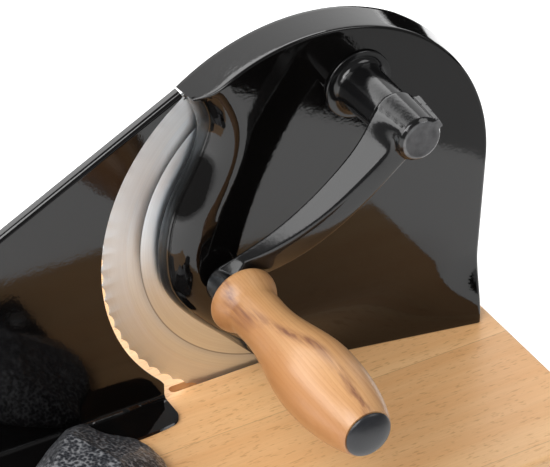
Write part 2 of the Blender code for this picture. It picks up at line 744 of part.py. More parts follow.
def frame_plate(root, drive, paint):
    """A flat plate with a foot bent back onto the board, which carries the blade axle and the crank bush."""
    bottom = SEAT_GAP + FOOT_BEND
    lobe = SPACER_RADIUS + PLATE_CORNER / 2
    discs = [(x, y, lobe) for x, y in spacer_places()]
    discs += [(CRANK_X, CRANK_Y, SPIGOT_RADIUS + PLATE_CORNER), (0, BLADE_HEIGHT, AXLE_HEAD_RADIUS + PLATE_CORNER)]
    outline = hull(discs + [(PLATE_FOOT_LEFT, bottom, SEAT_GAP / 2), (PLATE_FOOT_RIGHT, bottom, SEAT_GAP / 2)])
    holes = [circle(place, MACHINE_SCREW_RADIUS + SEAT_GAP, 16) for place in spacer_places()]
    holes.append(circle((0, BLADE_HEIGHT), AXLE_RADIUS + SEAT_GAP, 24))
    holes.append(circle((CRANK_X, CRANK_Y), SHAFT_RADIUS + RUNNING_GAP + BUSH_WALL + SEAT_GAP, 24))
    plate = made_mesh(flat("frame_plate", [outline] + holes, PLATE_BACK, PLATE_FRONT, drive, None))
    plate.data.materials.append(paint)
    foot = block(
        "frame_foot",
        (PLATE_FOOT_LEFT + FOOT_BEND, SEAT_GAP, PLATE_FOOT_BACK),
        (PLATE_FOOT_RIGHT - FOOT_BEND, SEAT_GAP + PLATE_THICKNESS, PLATE_FRONT - FOOT_BEND),
        drive,
    )
    cut(plate, foot, "UNION")
    for index, x in enumerate(plate_screw_places(), 1):
        hole = circle((x, -plate_screw_depth()), MACHINE_SCREW_RADIUS + SEAT_GAP, 16)
        tool = flat(f"plate_foot_hole_{index}", [hole], -FOOT_BEND, 2 * PLATE_THICKNESS, root, None)
        cut(plate, made_mesh(tool))
    smooth(plate)
    return plate


def housing_fixings(root, drive, steel):
    front = FACE_DEPTH - WALL - SEAT_GAP
    back = PLATE_FRONT + SEAT_GAP
    bore = MACHINE_SCREW_RADIUS + SEAT_GAP
    seat = PLATE_BACK - SEAT_GAP
    for index, (x, y) in enumerate(spacer_places(), 1):
        ring = [(bore, back), (SPACER_RADIUS, back), (SPACER_RADIUS, front), (bore, front)]
        turned(f"spacer_{index}", ring, drive, steel, (x, y, 0), 14)
        sizes = (MACHINE_SCREW_RADIUS, front - SEAT_GAP - seat, MACHINE_SCREW_HEAD_RADIUS, MACHINE_SCREW_HEAD)
        screw = pan_screw(f"housing_screw_{index}", drive, (x, y, seat), steel, sizes)
        screw.rotation_euler.x = math.pi
    seat = -BOARD_THICKNESS + MACHINE_SCREW_HEAD + SEAT_GAP
    for index, x in enumerate(plate_screw_places(), 1):
        sizes = (MACHINE_SCREW_RADIUS, PLATE_THICKNESS - seat, MACHINE_SCREW_HEAD_RADIUS, MACHINE_SCREW_HEAD)
        place = (x, -plate_screw_depth(), seat)
        screw = pan_screw(f"frame_foot_screw_{index}", root, place, steel, sizes)
        screw.rotation_euler.x = math.pi


# Blade set


def scalloped(radius):
    """The cutting edge: shallow hollows round the disc that meet in points."""
    count = SCALLOPS * SCALLOP_POINTS
    points = []
    for index in range(count):
        angle = TURN * index / count
        reach = radius - SCALLOP_DEPTH * abs(math.sin(angle * SCALLOPS / 2))
        points.append((reach * math.cos(angle), reach * math.sin(angle)))
    return points


def blade(axis, steel):
    """A thin disc, ground to its edge over an outer band, and cut round with scallops."""
    hole = AXLE_RADIUS + RUNNING_GAP + HUB_WALL + SEAT_GAP
    rim = BLADE_RADIUS + SEAT_GAP
    profile = [
        (hole, BLADE_HALF),
        (BLADE_RADIUS - GROUND_BAND, BLADE_HALF),
        (rim, EDGE_THICKNESS / 2),
        (rim, -EDGE_THICKNESS / 2),
        (BLADE_RADIUS - GROUND_BAND, -BLADE_HALF),
        (hole, -BLADE_HALF),
    ]
    disc = turned("blade", profile, axis, steel, steps=48)
    tool = flat("scallops", [scalloped(BLADE_RADIUS)], -BLADE_THICKNESS, BLADE_THICKNESS, axis, None)
    cut(disc, made_mesh(tool), "INTERSECT")
    for index, (x, y) in enumerate(rivet_places(), 1):
        hole = circle((x, y), RIVET_RADIUS + SEAT_GAP, 12)
        tool = flat(f"blade_rivet_hole_{index}", [hole], -BLADE_THICKNESS, BLADE_THICKNESS, axis, None)
        cut(disc, made_mesh(tool))
    return disc


def rivet_places():
    angles = [math.radians(45) + TURN * index / RIVETS for index in range(RIVETS)]
    return [(RIVET_CIRCLE * math.cos(a), RIVET_CIRCLE * math.sin(a)) for a in angles]


def involute(angle):
    return math.tan(angle) - angle


def gear_outline(teeth, turn):
    """An involute gear's outline with one tooth centred on the angle turn."""
    pitch = GEAR_MODULE * teeth / 2
    base = pitch * math.cos(PRESSURE_ANGLE)
    tip = pitch + GEAR_MODULE
    root = pitch - GEAR_MODULE * ROOT_DEPTH
    half = (math.pi * GEAR_MODULE / 2 - BACKLASH) / (2 * pitch)
    start = max(base, root)
    flank = []
    for step in range(FLANK_POINTS):
        radius = start + (tip - start) * step / (FLANK_POINTS - 1)
        flank.append((radius, half + involute(PRESSURE_ANGLE) - involute(math.acos(min(1, base / radius)))))
    if root < base:
        flank.insert(0, (root, flank[0][1]))
    points = []
    for index in range(teeth):
        middle = turn + TURN * index / teeth
        points += [(radius, middle - width) for radius, width in flank]
        points += [(radius, middle + width) for radius, width in flank[::-1]]
    return [(radius * math.cos(angle), radius * math.sin(angle)) for radius, angle in points]


def blade_set(drive, axis, steel, dark_steel):
    blade(axis, steel)
    sleeve = AXLE_RADIUS + RUNNING_GAP + HUB_WALL
    holes = [circle((0, 0), sleeve + SEAT_GAP)]
    holes += [circle(place, RIVET_RADIUS + SEAT_GAP, 12) for place in rivet_places()]
    teeth = gear_outline(GEAR_TEETH, CRANK_BEARING)
    flat("blade_gear", [teeth] + holes, GEAR_BACK, GEAR_FRONT, axis, dark_steel)
    flange_front = -BLADE_HALF - SEAT_GAP
    flange_back = flange_front - HUB_FLANGE
    bore = AXLE_RADIUS + RUNNING_GAP
    profile = [
        (bore, GEAR_FRONT),
        (sleeve, GEAR_FRONT),
        (sleeve, flange_front),
        (HUB_FLANGE_RADIUS, flange_front),
        (HUB_FLANGE_RADIUS, flange_back),
        (bore, flange_back),
    ]
    hub = turned("blade_hub", profile, axis, dark_steel)
    for index, (x, y) in enumerate(rivet_places(), 1):
        hole = circle((x, y), RIVET_RADIUS + SEAT_GAP, 12)
        tool = flat(f"hub_rivet_hole_{index}", [hole], flange_back - SHEET, flange_front + SHEET, axis, None)
        cut(hub, made_mesh(tool))
        grip = GEAR_FRONT - flange_back + 2 * SEAT_GAP
        place = (x, y, GEAR_FRONT + SEAT_GAP)
        rivet(f"blade_rivet_{index}", axis, place, steel, grip, RIVET_RADIUS, RIVET_HEAD_RADIUS, RIVET_HEAD)
    place = (0, BLADE_HEIGHT, 0)
    end = flange_back - SEAT_GAP
    shoulder = GEAR_FRONT + SEAT_GAP
    tapped = AXLE_SCREW_RADIUS + SEAT_GAP
    depth = end + AXLE_SCREW_LENGTH + SEAT_GAP
    head = PLATE_FRONT + SEAT_GAP
    profile = head_dome(head, AXLE_HEAD_RADIUS, AXLE_HEAD, 1) + [
        (AXLE_HEAD_RADIUS, head),
        (AXLE_RADIUS, head),
        (AXLE_RADIUS, PLATE_BACK - SEAT_GAP),
        (AXLE_HEAD_RADIUS, PLATE_BACK - SEAT_GAP),
        (AXLE_HEAD_RADIUS, shoulder),
        (AXLE_RADIUS, shoulder),
        (AXLE_RADIUS, end),
        (tapped, end),
        (tapped, depth),
        (0, depth),
    ]
    turned("blade_axle", profile, drive, dark_steel, place, 20)
    sizes = (AXLE_SCREW_RADIUS, AXLE_SCREW_LENGTH, AXLE_SCREW_HEAD_RADIUS, AXLE_SCREW_HEAD)
    x, y, _ = place
    screw = pan_screw("axle_screw", drive, (x, y, end - SEAT_GAP), dark_steel, sizes, 24)
    screw.rotation_euler.x = math.pi
    low = (-2 * AXLE_SCREW_HEAD_RADIUS, y - COIN_SLOT / 2, end - 2 * AXLE_SCREW_HEAD)
    high = (2 * AXLE_SCREW_HEAD_RADIUS, y + COIN_SLOT / 2, end - SEAT_GAP - AXLE_SCREW_HEAD / 2)
    cut(screw, block("coin_slot", low, high, drive))


# Crank bearing and crank


def bearing(drive, paint, steel):
    place = (CRANK_X, CRANK_Y, 0)
    bore = SHAFT_RADIUS + RUNNING_GAP
    flare = arc((BOSS_BASE_RADIUS, BOSS_BACK + BOSS_FLARE), BOSS_BASE_RADIUS - BOSS_RADIUS, 265, 180, 6)
    stub = FACE_DEPTH - WALL - BOSS_NUT - 3 * SEAT_GAP
    profile = [
        (bore, BOSS_FRONT),
        (BOSS_RADIUS - EDGE_BREAK, BOSS_FRONT),
        (BOSS_RADIUS, BOSS_FRONT - EDGE_BREAK),
        *flare[::-1],
        (BOSS_BASE_RADIUS, BOSS_BACK),
        (SPIGOT_RADIUS, BOSS_BACK),
        (SPIGOT_RADIUS, stub),
        (bore, stub),
    ]
    turned("bearing_boss", profile, drive, paint, place)
    nut_front = FACE_DEPTH - WALL - SEAT_GAP
    outlines = [circle((0, 0), BOSS_NUT_RADIUS, 6), circle((0, 0), SPIGOT_RADIUS + SEAT_GAP)]
    flat("boss_nut", outlines, nut_front - BOSS_NUT, nut_front, drive, steel, place)
    sleeve = bore + BUSH_WALL
    seat = PLATE_BACK - SEAT_GAP
    profile = [
        (bore, PLATE_FRONT + SEAT_GAP),
        (sleeve, PLATE_FRONT + SEAT_GAP),
        (sleeve, seat),
        (BUSH_FLANGE_RADIUS, seat),
        (BUSH_FLANGE_RADIUS, seat - BUSH_FLANGE),
        (bore, seat - BUSH_FLANGE),
    ]
    turned("inner_bush", profile, drive, steel, place, 28)


def arm_section(step):
    """One section of the arm: a rounded rectangle across the line from the crank's axis to the handle's."""
    inset = 2 * SEAT_GAP
    front_start = HUB_FRONT - ARM_FRONT_STEP
    front_lead = HUB_FRONT - ARM_FRONT_DROP
    front_rise = ARM_END_FRONT + ARM_FRONT_RISE
    front = bezier(front_start, front_lead, front_rise, ARM_END_FRONT - inset, min(step / ARM_LEVEL, 1))
    back_lead = HUB_BACK + ARM_BACK_BULGE
    back_dip = ARM_END_BACK + ARM_BACK_DIP
    back_end = ARM_END_BACK + inset
    back = bezier(HUB_BACK + inset, back_lead, back_dip, back_end, min(step / ARM_BACK_LEVEL, 1))
    width = ARM_HALF_WIDTH + ARM_WIDENING * step
    height = (front - back) / 2
    points = []
    for start, (side, up) in zip((0, 90, 180, 270), ((1, 1), (-1, 1), (-1, -1), (1, -1))):
        middle = (side * (width - ARM_EDGE_ROUND), up * (height - ARM_EDGE_ROUND))
        points += arc(middle, ARM_EDGE_ROUND, start, start + 90, 3)
    across = Vector((-math.sin(CRANK_ANGLE), math.cos(CRANK_ANGLE), 0))
    middle = Vector((HANDLE_X * step, HANDLE_Y * step, (front + back) / 2))
    return [middle + across * side + Vector((0, 0, up)) for side, up in points]


def loft(name, sections, parent, paint):
    """A closed body through rings of points, with a flat cap at each end."""
    count = len(sections[0])
    faces = []
    for row in range(len(sections) - 1):
        for column in range(count):
            after = (column + 1) % count
            low, high = row * count, (row + 1) * count
            faces.append((low + column, low + after, high + after, high + column))
    faces.append(tuple(range(count))[::-1])
    faces.append(tuple(range((len(sections) - 1) * count, len(sections) * count)))
    mesh = bpy.data.meshes.new(name)
    mesh.from_pydata([tuple(point) for section in sections for point in section], [], faces)
    made = bmesh.new()
    made.from_mesh(mesh)
    bmesh.ops.recalc_face_normals(made, faces=made.faces)
    made.to_mesh(mesh)
    made.free()
    return add(name, mesh, parent, paint)


def crank_arm(axis, paint):
    """The swept arm, joined to the hub that holds the shaft and to the eye that holds the handle."""
    steps = [ARM_OVERLAP + (1 - 2 * ARM_OVERLAP) * i / ARM_SECTIONS for i in range(ARM_SECTIONS + 1)]
    arm = loft("crank_arm", [arm_section(step) for step in steps], axis, paint)
    hub = [
        (0, HUB_FRONT),
        (HUB_RADIUS - HUB_CHAMFER, HUB_FRONT),
        (HUB_RADIUS, HUB_FRONT - HUB_CHAMFER),
        (HUB_RADIUS, HUB_BACK + EDGE_BREAK),
        (HUB_RADIUS - EDGE_BREAK, HUB_BACK),
        (0, HUB_BACK),
    ]
    cut(arm, turned("arm_hub", hub, axis, None), "UNION")
    eye = [
        (0, ARM_END_FRONT),
        (ARM_END_RADIUS - EDGE_BREAK, ARM_END_FRONT),
        (ARM_END_RADIUS, ARM_END_FRONT - EDGE_BREAK),
        (ARM_END_RADIUS, ARM_END_BACK + EDGE_BREAK),
        (ARM_END_RADIUS - EDGE_BREAK, ARM_END_BACK),
        (0, ARM_END_BACK),
    ]
    cut(arm, turned("arm_eye", eye, axis, None, (HANDLE_X, HANDLE_Y, 0)), "UNION")
    wedge = (
        (HUB_RADIUS / 2, HUB_BACK + LUG_FOOT),
        (HUB_RADIUS, HUB_BACK + LUG_FOOT),
        (HUB_RADIUS + LUG_RISE, HUB_BACK + LUG_CREST),
        (HUB_RADIUS + LUG_END_RISE, HUB_FRONT - SEAT_GAP),
        (HUB_RADIUS / 2, HUB_FRONT - SEAT_GAP),
    )
    sides = [[Vector((reach, side, depth)) for reach, depth in wedge] for side in (-LUG_WIDTH / 2, LUG_WIDTH / 2)]
    lug = loft("hub_lug", sides, axis, None)
    lug.rotation_euler.z = LUG_ANGLE
    cut(arm, lug, "UNION")
    bore = circle((0, 0), SHAFT_RADIUS + SEAT_GAP, 28)
    cut(arm, made_mesh(flat("shaft_bore", [bore], BOSS_BACK, HUB_FRONT - HUB_END_WALL, axis, None)))
    place = (HANDLE_X, HANDLE_Y, 0)
    hole = circle((0, 0), SPINDLE_RADIUS + SEAT_GAP, 24)
    cut(arm, made_mesh(flat("spindle_hole", [hole], BOSS_BACK, HUB_BACK, axis, None, place)))
    screw_hole = circle((0, 0), SET_SCREW_RADIUS + SEAT_GAP, 16)
    tool = made_mesh(flat("set_screw_hole", [screw_hole], SHAFT_RADIUS / 2, 2 * HUB_RADIUS, axis, None))
    aim_out(tool, set_screw_height(), 0)
    cut(arm, tool)
    smooth(arm, 30)
    return arm


def set_screw_height():
    return (HUB_BACK + HUB_FRONT) / 2


def aim_out(made, height, reach):
    """Turns a piece made along Z so that it points out of the hub at the set screw's angle."""
    out = Vector((math.cos(SET_SCREW_ANGLE), math.sin(SET_SCREW_ANGLE), 0))
    made.rotation_euler = out.to_track_quat("Z", "Y").to_euler()
    shift = made.location.z
    made.location = out * (reach + shift) + Vector((0, 0, height))


def crank_set(axis, paint, steel, dark_steel):
    crank_arm(axis, paint)
    end = HUB_FRONT - HUB_END_WALL - SEAT_GAP
    back = GEAR_BACK + SEAT_GAP
    profile = [
        (0, end),
        (SHAFT_RADIUS - EDGE_BREAK, end),
        (SHAFT_RADIUS, end - EDGE_BREAK),
        (SHAFT_RADIUS, back),
        (0, back),
    ]
    turned("crank_shaft", profile, axis, steel, steps=28)
    half_tooth = math.pi / PINION_TEETH
    teeth = gear_outline(PINION_TEETH, CRANK_BEARING + math.pi + half_tooth)
    hole = circle((0, 0), SHAFT_RADIUS + SEAT_GAP)
    flat("pinion", [teeth, hole], GEAR_BACK, GEAR_FRONT, axis, dark_steel)
    bottom = SHAFT_RADIUS + SEAT_GAP
    top = HUB_RADIUS - EDGE_BREAK
    profile = [
        (0, top - SET_SCREW_RADIUS),
        (SET_SCREW_RADIUS / 2, top - SET_SCREW_RADIUS),
        (SET_SCREW_RADIUS / 2, top),
        (SET_SCREW_RADIUS, top),
        (SET_SCREW_RADIUS, bottom),
        (0, bottom),
    ]
    screw = turned("hub_set_screw", profile, axis, steel, steps=16)
    aim_out(screw, set_screw_height(), 0)
    recess_floor = GRIP_FRONT - CAP_RECESS
    head = recess_floor + SEAT_GAP
    profile = head_dome(head, SPINDLE_HEAD_RADIUS, SPINDLE_HEAD, 1) + [
        (SPINDLE_HEAD_RADIUS, head),
        (SPINDLE_RADIUS, head),
        (SPINDLE_RADIUS, ARM_END_BACK + EDGE_BREAK),
        (0, ARM_END_BACK + EDGE_BREAK),
    ]
    place = (HANDLE_X, HANDLE_Y, 0)
    turned("handle_spindle", profile, axis, steel, place, 24)
    bore = SPINDLE_RADIUS + SEAT_GAP
    front = WASHER_BACK + WASHER_THICKNESS
    washer = [(bore, WASHER_BACK), (ARM_END_RADIUS, WASHER_BACK), (ARM_END_RADIUS, front), (bore, front)]
    turned("handle_washer", washer, axis, steel, place, 24)


def grip_radius(share):
    """The turned shape of the grip: a bead at its inner end, a neck, and a belly that ends as an ellipse."""
    if share > BELLY_AT:
        reach = (1 - BELLY_AT) / math.sqrt(1 - (GRIP_END_RADIUS / BELLY_RADIUS) ** 2)
        return BELLY_RADIUS * math.sqrt(1 - ((share - BELLY_AT) / reach) ** 2)
    if share < BEAD_AT:
        return BEAD_RADIUS * math.sqrt(1 - ((BEAD_AT - share) / BEAD_ROUNDING) ** 2)
    knots = ((BEAD_AT, BEAD_RADIUS), (KNOT_AT, KNOT_RADIUS), (NECK_AT, NECK_RADIUS), (BELLY_AT, BELLY_RADIUS))
    for (start, low), (end, high) in zip(knots, knots[1:]):
        if share <= end:
            return low + (high - low) * (1 - math.cos(math.pi * (share - start) / (end - start))) / 2
    return BELLY_RADIUS


def handle(axis, wood, plastic):
    bore = SPINDLE_RADIUS + RUNNING_GAP
    recess_floor = GRIP_FRONT - CAP_RECESS
    shares = sorted({i / GRIP_STEPS for i in range(GRIP_STEPS + 1)} | {BEAD_AT})
    profile = [(grip_radius(share), GRIP_BACK + HANDLE_LENGTH * share) for share in shares]
    profile += [
        (CAP_RECESS_RADIUS, GRIP_FRONT),
        (CAP_RECESS_RADIUS, recess_floor),
        (bore, recess_floor),
        (bore, GRIP_BACK),
    ]
    turned("handle_grip", profile, axis, wood, steps=24)
    seat = GRIP_FRONT + SEAT_GAP
    dome = [(CAP_RADIUS * math.cos(a), seat + CAP_DOME * math.sin(a)) for a in CAP_ANGLES]
    profile = [(0, seat + CAP_DOME)] + dome[::-1] + [
        (CAP_RADIUS, seat),
        (CAP_RECESS_RADIUS - SEAT_GAP, seat),
        (CAP_RECESS_RADIUS - SEAT_GAP, GRIP_FRONT - CAP_SPIGOT),
        (0, GRIP_FRONT - CAP_SPIGOT),
    ]
    turned("handle_cap", profile, axis, plastic, steps=24)


# Stop plate, bracket and lock


def stop_edge(share):
    """The sheet's right edge from the board up to the tip: a short upright, then the arc round the blade."""
    if share < STOP_UPRIGHT_SHARE:
        return -STOP_RIGHT, STOP_UPRIGHT * share / STOP_UPRIGHT_SHARE
    start = 1.5 * math.pi - math.asin(STOP_RIGHT / STOP_RADIUS)
    angle = start + (STOP_TIP_ANGLE - start) * (share - STOP_UPRIGHT_SHARE) / (1 - STOP_UPRIGHT_SHARE)
    return STOP_RADIUS * math.cos(angle), BLADE_HEIGHT + STOP_RADIUS * math.sin(angle)


def foot_reach(x):
    """How far the foot reaches to the front at x, with its rounded corner and the tongue that the bracket sits on."""
    if abs(x + TONGUE_CENTRE) <= TONGUE_HALF_WIDTH:
        return TONGUE_FRONT
    gap = max(0, -STOP_RIGHT - x) if x > -TONGUE_CENTRE else x + STOP_LEFT
    reach = STOP_FRONT + STOP_FOOT_DEPTH - STOP_NOSE_PULL * math.exp(-gap / (2 * STOP_FOOT_CORNER))
    if gap < STOP_FOOT_CORNER:
        reach -= STOP_FOOT_CORNER - math.sqrt(STOP_FOOT_CORNER**2 - (STOP_FOOT_CORNER - gap) ** 2)
    return reach


def stop_plate(root, slide, steel):
    """One folded sheet: a top edge turned back, the upright face, and a foot bent forward with its tongue."""
    slope = Vector((math.cos(STOP_TOP_SLOPE), math.sin(STOP_TOP_SLOPE)))
    tip = Vector(stop_edge(1)) + Vector((0, STOP_TIP_RISE))
    left_top = tip - slope * ((tip.x + STOP_LEFT) / slope.x)
    rise = Vector((-slope.y, slope.x))
    span = STOP_LEFT - STOP_RIGHT
    rows = []
    tongue_edges = [STOP_LEFT - TONGUE_CENTRE - TONGUE_HALF_WIDTH, STOP_LEFT - TONGUE_CENTRE + TONGUE_HALF_WIDTH]
    marks = {0, 1}
    for edge in tongue_edges:
        marks |= {(edge - SEAT_GAP / 4) / span, (edge + SEAT_GAP / 4) / span}
    for corner in range(1, 4):
        mark = STOP_FOOT_CORNER * (1 - math.cos(math.radians(30 * corner))) / span
        marks |= {mark, 1 - mark}
    marks |= set(STOP_MARKS)
    foot_top = SEAT_GAP + SHEET
    fold_steps = [math.radians(a) for a in FOLD_ANGLES]
    for mark in sorted(marks):
        row = []
        top = left_top + (tip - left_top) * mark
        row.append((*top, STOP_FRONT - STOP_FLANGE))
        for turn in fold_steps:
            inward = top - rise * BEND_RADIUS * (1 - math.cos(turn))
            row.append((*inward, STOP_FRONT - BEND_RADIUS + BEND_RADIUS * math.sin(turn)))
        for share in [1 - i / SHEET_STEPS for i in range(1, SHEET_STEPS)]:
            right = Vector(stop_edge(share))
            left = Vector((-STOP_LEFT, (left_top.y - BEND_RADIUS) * share))
            row.append((*(left + (right - left) * mark), STOP_FRONT))
        x = -STOP_LEFT + span * mark
        for turn in fold_steps:
            height = foot_top + BEND_RADIUS * (1 - math.sin(turn))
            row.append((x, height, STOP_FRONT + BEND_RADIUS * (1 - math.cos(turn))))
        reach = foot_reach(x)
        row.append((x, foot_top, (STOP_FRONT + BEND_RADIUS + reach) / 2))
        row.append((x, foot_top, reach))
        rows.append(row)
    width = len(rows[0])
    faces = []
    for line in range(len(rows) - 1):
        for column in range(width - 1):
            first = line * width + column
            faces.append((first, first + 1, first + width + 1, first + width))
    mesh = bpy.data.meshes.new("stop_plate")
    mesh.from_pydata([point for row in rows for point in row], [], faces)
    made = add("stop_plate", mesh, slide, steel)
    wall = made.modifiers.new("Sheet", "SOLIDIFY")
    wall.thickness = SHEET
    wall.offset = -1
    wall.use_even_offset = True
    for name, x, y, radius in (
        ("stud_way", 0, STUD_PLACE, STUD_RADIUS),
        ("guide_way_1", -GUIDE_OFFSET, GUIDE_PLACE, GUIDE_RADIUS),
        ("guide_way_2", GUIDE_OFFSET, GUIDE_PLACE, GUIDE_RADIUS),
    ):
        outline = slide_slot(x - TONGUE_CENTRE, -y, radius + SEAT_GAP)
        cut(made, made_mesh(flat(name, [outline], -SHEET, 3 * SHEET, root, None)))
    for index, side in enumerate((-1, 1), 1):
        hole = circle((side * BRACKET_RIVET_OFFSET - TONGUE_CENTRE, -BRACKET_RIVET_PLACE), RIVET_RADIUS + SEAT_GAP, 12)
        cut(made, made_mesh(flat(f"tongue_rivet_hole_{index}", [hole], -SHEET, 3 * SHEET, root, None)))
    smooth(made)
    return made


def slide_slot(x, y, radius):
    """A slot that lets a fixed pin pass along the stop's whole travel."""
    half = (STOP_OPEN + STOP_CLOSE) / 2 + SEAT_GAP
    return stadium((x, y + (STOP_OPEN - STOP_CLOSE) / 2), half, radius)


def bracket_ring(outline, height, shrink):
    """An outline drawn in towards the bracket's crown by a share, at a height."""
    return [
        Vector((x + (cx - x) * shrink, y + (cy - y) * shrink, height))
        for (x, y), (cx, cy) in zip(outline, CROWN_SIDE)
    ]


def stop_bracket(root, slide, iron):
    """A cast mound with a blunt nose against the sheet, and a low deck that the lock knob presses on."""
    bottom = SEAT_GAP + SHEET + SEAT_GAP
    sections = []
    for share, shrink in BRACKET_FLANK:
        sections.append(bracket_ring(BASE_SIDE, bottom + (BRACKET_HEIGHT - bottom) * share, shrink))
    made = loft("stop_bracket", sections, slide, iron)
    deck = block(
        "bracket_deck",
        (-TONGUE_CENTRE - DECK_HALF_WIDTH, -TONGUE_FRONT + SHEET, bottom + SEAT_GAP),
        (-TONGUE_CENTRE + DECK_HALF_WIDTH, -BRACKET_FRONT + DECK_HEIGHT, DECK_HEIGHT),
        root,
    )
    cut(made, deck, "UNION")
    slot = slide_slot(-TONGUE_CENTRE, -STUD_PLACE, STUD_RADIUS + SEAT_GAP)
    cut(made, made_mesh(flat("deck_slot", [slot], -SHEET, 2 * BRACKET_HEIGHT, root, None)))
    for index, side in enumerate((-1, 1), 1):
        x, y = side * BRACKET_RIVET_OFFSET - TONGUE_CENTRE, -BRACKET_RIVET_PLACE
        hole = circle((x, y), RIVET_RADIUS + SEAT_GAP, 12)
        cut(made, made_mesh(flat(f"deck_rivet_hole_{index}", [hole], -SHEET, BRACKET_HEIGHT, root, None)))
    smooth(made, 50)
    return made


def lock_set(root, knob_axis, steel, brass, plastic):
    """The stud in the board, and the washer and lobed knob that press the deck down on the tongue."""
    place = (-TONGUE_CENTRE, -STUD_PLACE, 0)
    bore = STUD_RADIUS + SEAT_GAP
    sleeve = [
        (bore, -SEAT_GAP),
        (INSERT_RADIUS, -SEAT_GAP),
        (INSERT_RADIUS, -INSERT_LENGTH - SEAT_GAP),
        (bore, -INSERT_LENGTH - SEAT_GAP),
    ]
    turned("insert_nut", sleeve, root, brass, place, 24)
    washer_bottom = DECK_HEIGHT + SEAT_GAP
    knob_bottom = washer_bottom + LOCK_WASHER + SEAT_GAP
    knob_top = knob_bottom + KNOB_HEIGHT
    stud_top = knob_top - KNOB_WALL - SEAT_GAP
    stud = [
        (0, stud_top),
        (STUD_RADIUS - EDGE_BREAK, stud_top),
        (STUD_RADIUS, stud_top - EDGE_BREAK),
        (STUD_RADIUS, -INSERT_LENGTH),
        (0, -INSERT_LENGTH),
    ]
    turned("knob_stud", stud, root, steel, place, 24)
    top = washer_bottom + LOCK_WASHER
    ring = [(bore, washer_bottom), (LOCK_WASHER_RADIUS, washer_bottom), (LOCK_WASHER_RADIUS, top), (bore, top)]
    turned("lock_washer", ring, knob_axis, steel, steps=24)
    outline = []
    count = KNOB_LOBES * LOBE_POINTS
    for index in range(count):
        angle = TURN * index / count
        reach = KNOB_RADIUS - KNOB_LOBE_DEPTH * (1 - math.cos(KNOB_LOBES * angle)) / 2
        outline.append((reach * math.cos(angle), reach * math.sin(angle)))
    knob = made_mesh(flat("lock_knob", [outline], knob_bottom, knob_top, knob_axis, None))
    knob.data.materials.append(plastic)
    bevel(knob, KNOB_LOBE_DEPTH, 1)
    tool = flat("knob_bore", [circle((0, 0), bore, 24)], 0, knob_top - KNOB_WALL, knob_axis, None)
    cut(knob, made_mesh(tool))
    smooth(knob, 40)
    tongue_top = SEAT_GAP + SHEET + SEAT_GAP
    for index, side in enumerate((-1, 1), 1):
        place = (-TONGUE_CENTRE + side * GUIDE_OFFSET, -GUIDE_PLACE, tongue_top)
        sizes = (GUIDE_RADIUS, WOOD_SCREW_LENGTH, GUIDE_HEAD_RADIUS, GUIDE_HEAD)
        pan_screw(f"guide_screw_{index}", root, place, steel, sizes, 18)


def bracket_rivets(slide, steel):
    for index, side in enumerate((-1, 1), 1):
        place = (side * BRACKET_RIVET_OFFSET - TONGUE_CENTRE, -BRACKET_RIVET_PLACE, DECK_HEIGHT + SEAT_GAP)
        length = DECK_HEIGHT - SEAT_GAP / 2
        sizes = (RIVET_RADIUS, length, RIVET_HEAD_RADIUS, RIVET_HEAD)
        pan_screw(f"bracket_rivet_{index}", slide, place, steel, sizes, 12)


# The whole slicer


def build():
    beech = material("Beech", (0.62, 0.38, 0.18), 0.5)
    turned_wood = material("Turned hardwood", (0.6, 0.33, 0.14), 0.35)
    rubber = material("Rubber", (0.03, 0.03, 0.03), 0.8)
    black = material("Black gloss paint", (0.012, 0.011, 0.011), 0.18)
    sheet_paint = material("Black sheet paint", (0.015, 0.015, 0.016), 0.25)
    dark_iron = material("Hammertone paint", (0.12, 0.125, 0.14), 0.4, 0.3)
    crank_paint = material("Crank paint", (0.02, 0.02, 0.022), 0.3)
    blade_steel = material("Ground blade steel", (0.72, 0.71, 0.69), 0.25, 1.0)
    steel = material("Bright screw steel", (0.6, 0.6, 0.6), 0.35, 1.0)
    dark_steel = material("Gear steel", (0.33, 0.33, 0.34), 0.4, 1.0)
    plate_steel = material("Frame plate steel", (0.3, 0.3, 0.31), 0.5, 1.0)
    brass = material("Brass", (0.7, 0.5, 0.2), 0.35, 1.0)
    plastic = material("Black cap plastic", (0.025, 0.027, 0.03), 0.35)
    knob_plastic = material("Black knob plastic", (0.02, 0.02, 0.02), 0.4)

    root = empty("slicer", (-CENTRE_X, -CENTRE_Y, BOARD_THICKNESS + FOOT_HEIGHT))
    drive = empty("drive", (0, 0, 0), root, stood_up=True)
    blade_axis = empty("blade_axis", (0, BLADE_HEIGHT, 0), drive)
    crank_axis = empty("crank_axis", (CRANK_X, CRANK_Y, 0), drive)
    handle_axis = empty("handle_axis", (HANDLE_X, HANDLE_Y, 0), crank_axis)
    slide = empty("stop_slide", (0, 0, 0), root)
    stop_face = empty("stop_face", (0, 0, 0), slide, stood_up=True)
    knob_axis = empty("knob_axis", (-TONGUE_CENTRE, -STUD_PLACE, 0), root)

    base_board(root, beech)
    feet(root, rubber, steel)
    housing(drive, black)
    frame_plate(root, drive, plate_steel)
    housing_fixings(root, drive, steel)
    blade_set(drive, blade_axis, blade_steel, dark_steel)
    bearing(drive, crank_paint, steel)
    crank_set(crank_axis, crank_paint, steel, dark_steel)
    handle(handle_axis, turned_wood, plastic)
    stop_plate(root, stop_face, sheet_paint)
    stop_bracket(root, slide, dark_iron)
    bracket_rivets(slide, steel)
    lock_set(root, knob_axis, steel, brass, knob_plastic)


clear_scene()
PARTS = new_collection("manual_bread_slicer")
CUTTERS = new_collection("cutters")
CUTTERS.hide_render = True
build()
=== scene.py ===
"""Hand-cranked bread slicer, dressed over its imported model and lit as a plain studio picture.

New pieces are worked out in the slicer's own frame, in metres: X to the right, Z up from the board's top,
and depth towards the user from the blade's plane. placed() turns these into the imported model's frame.
"""

import json
import math

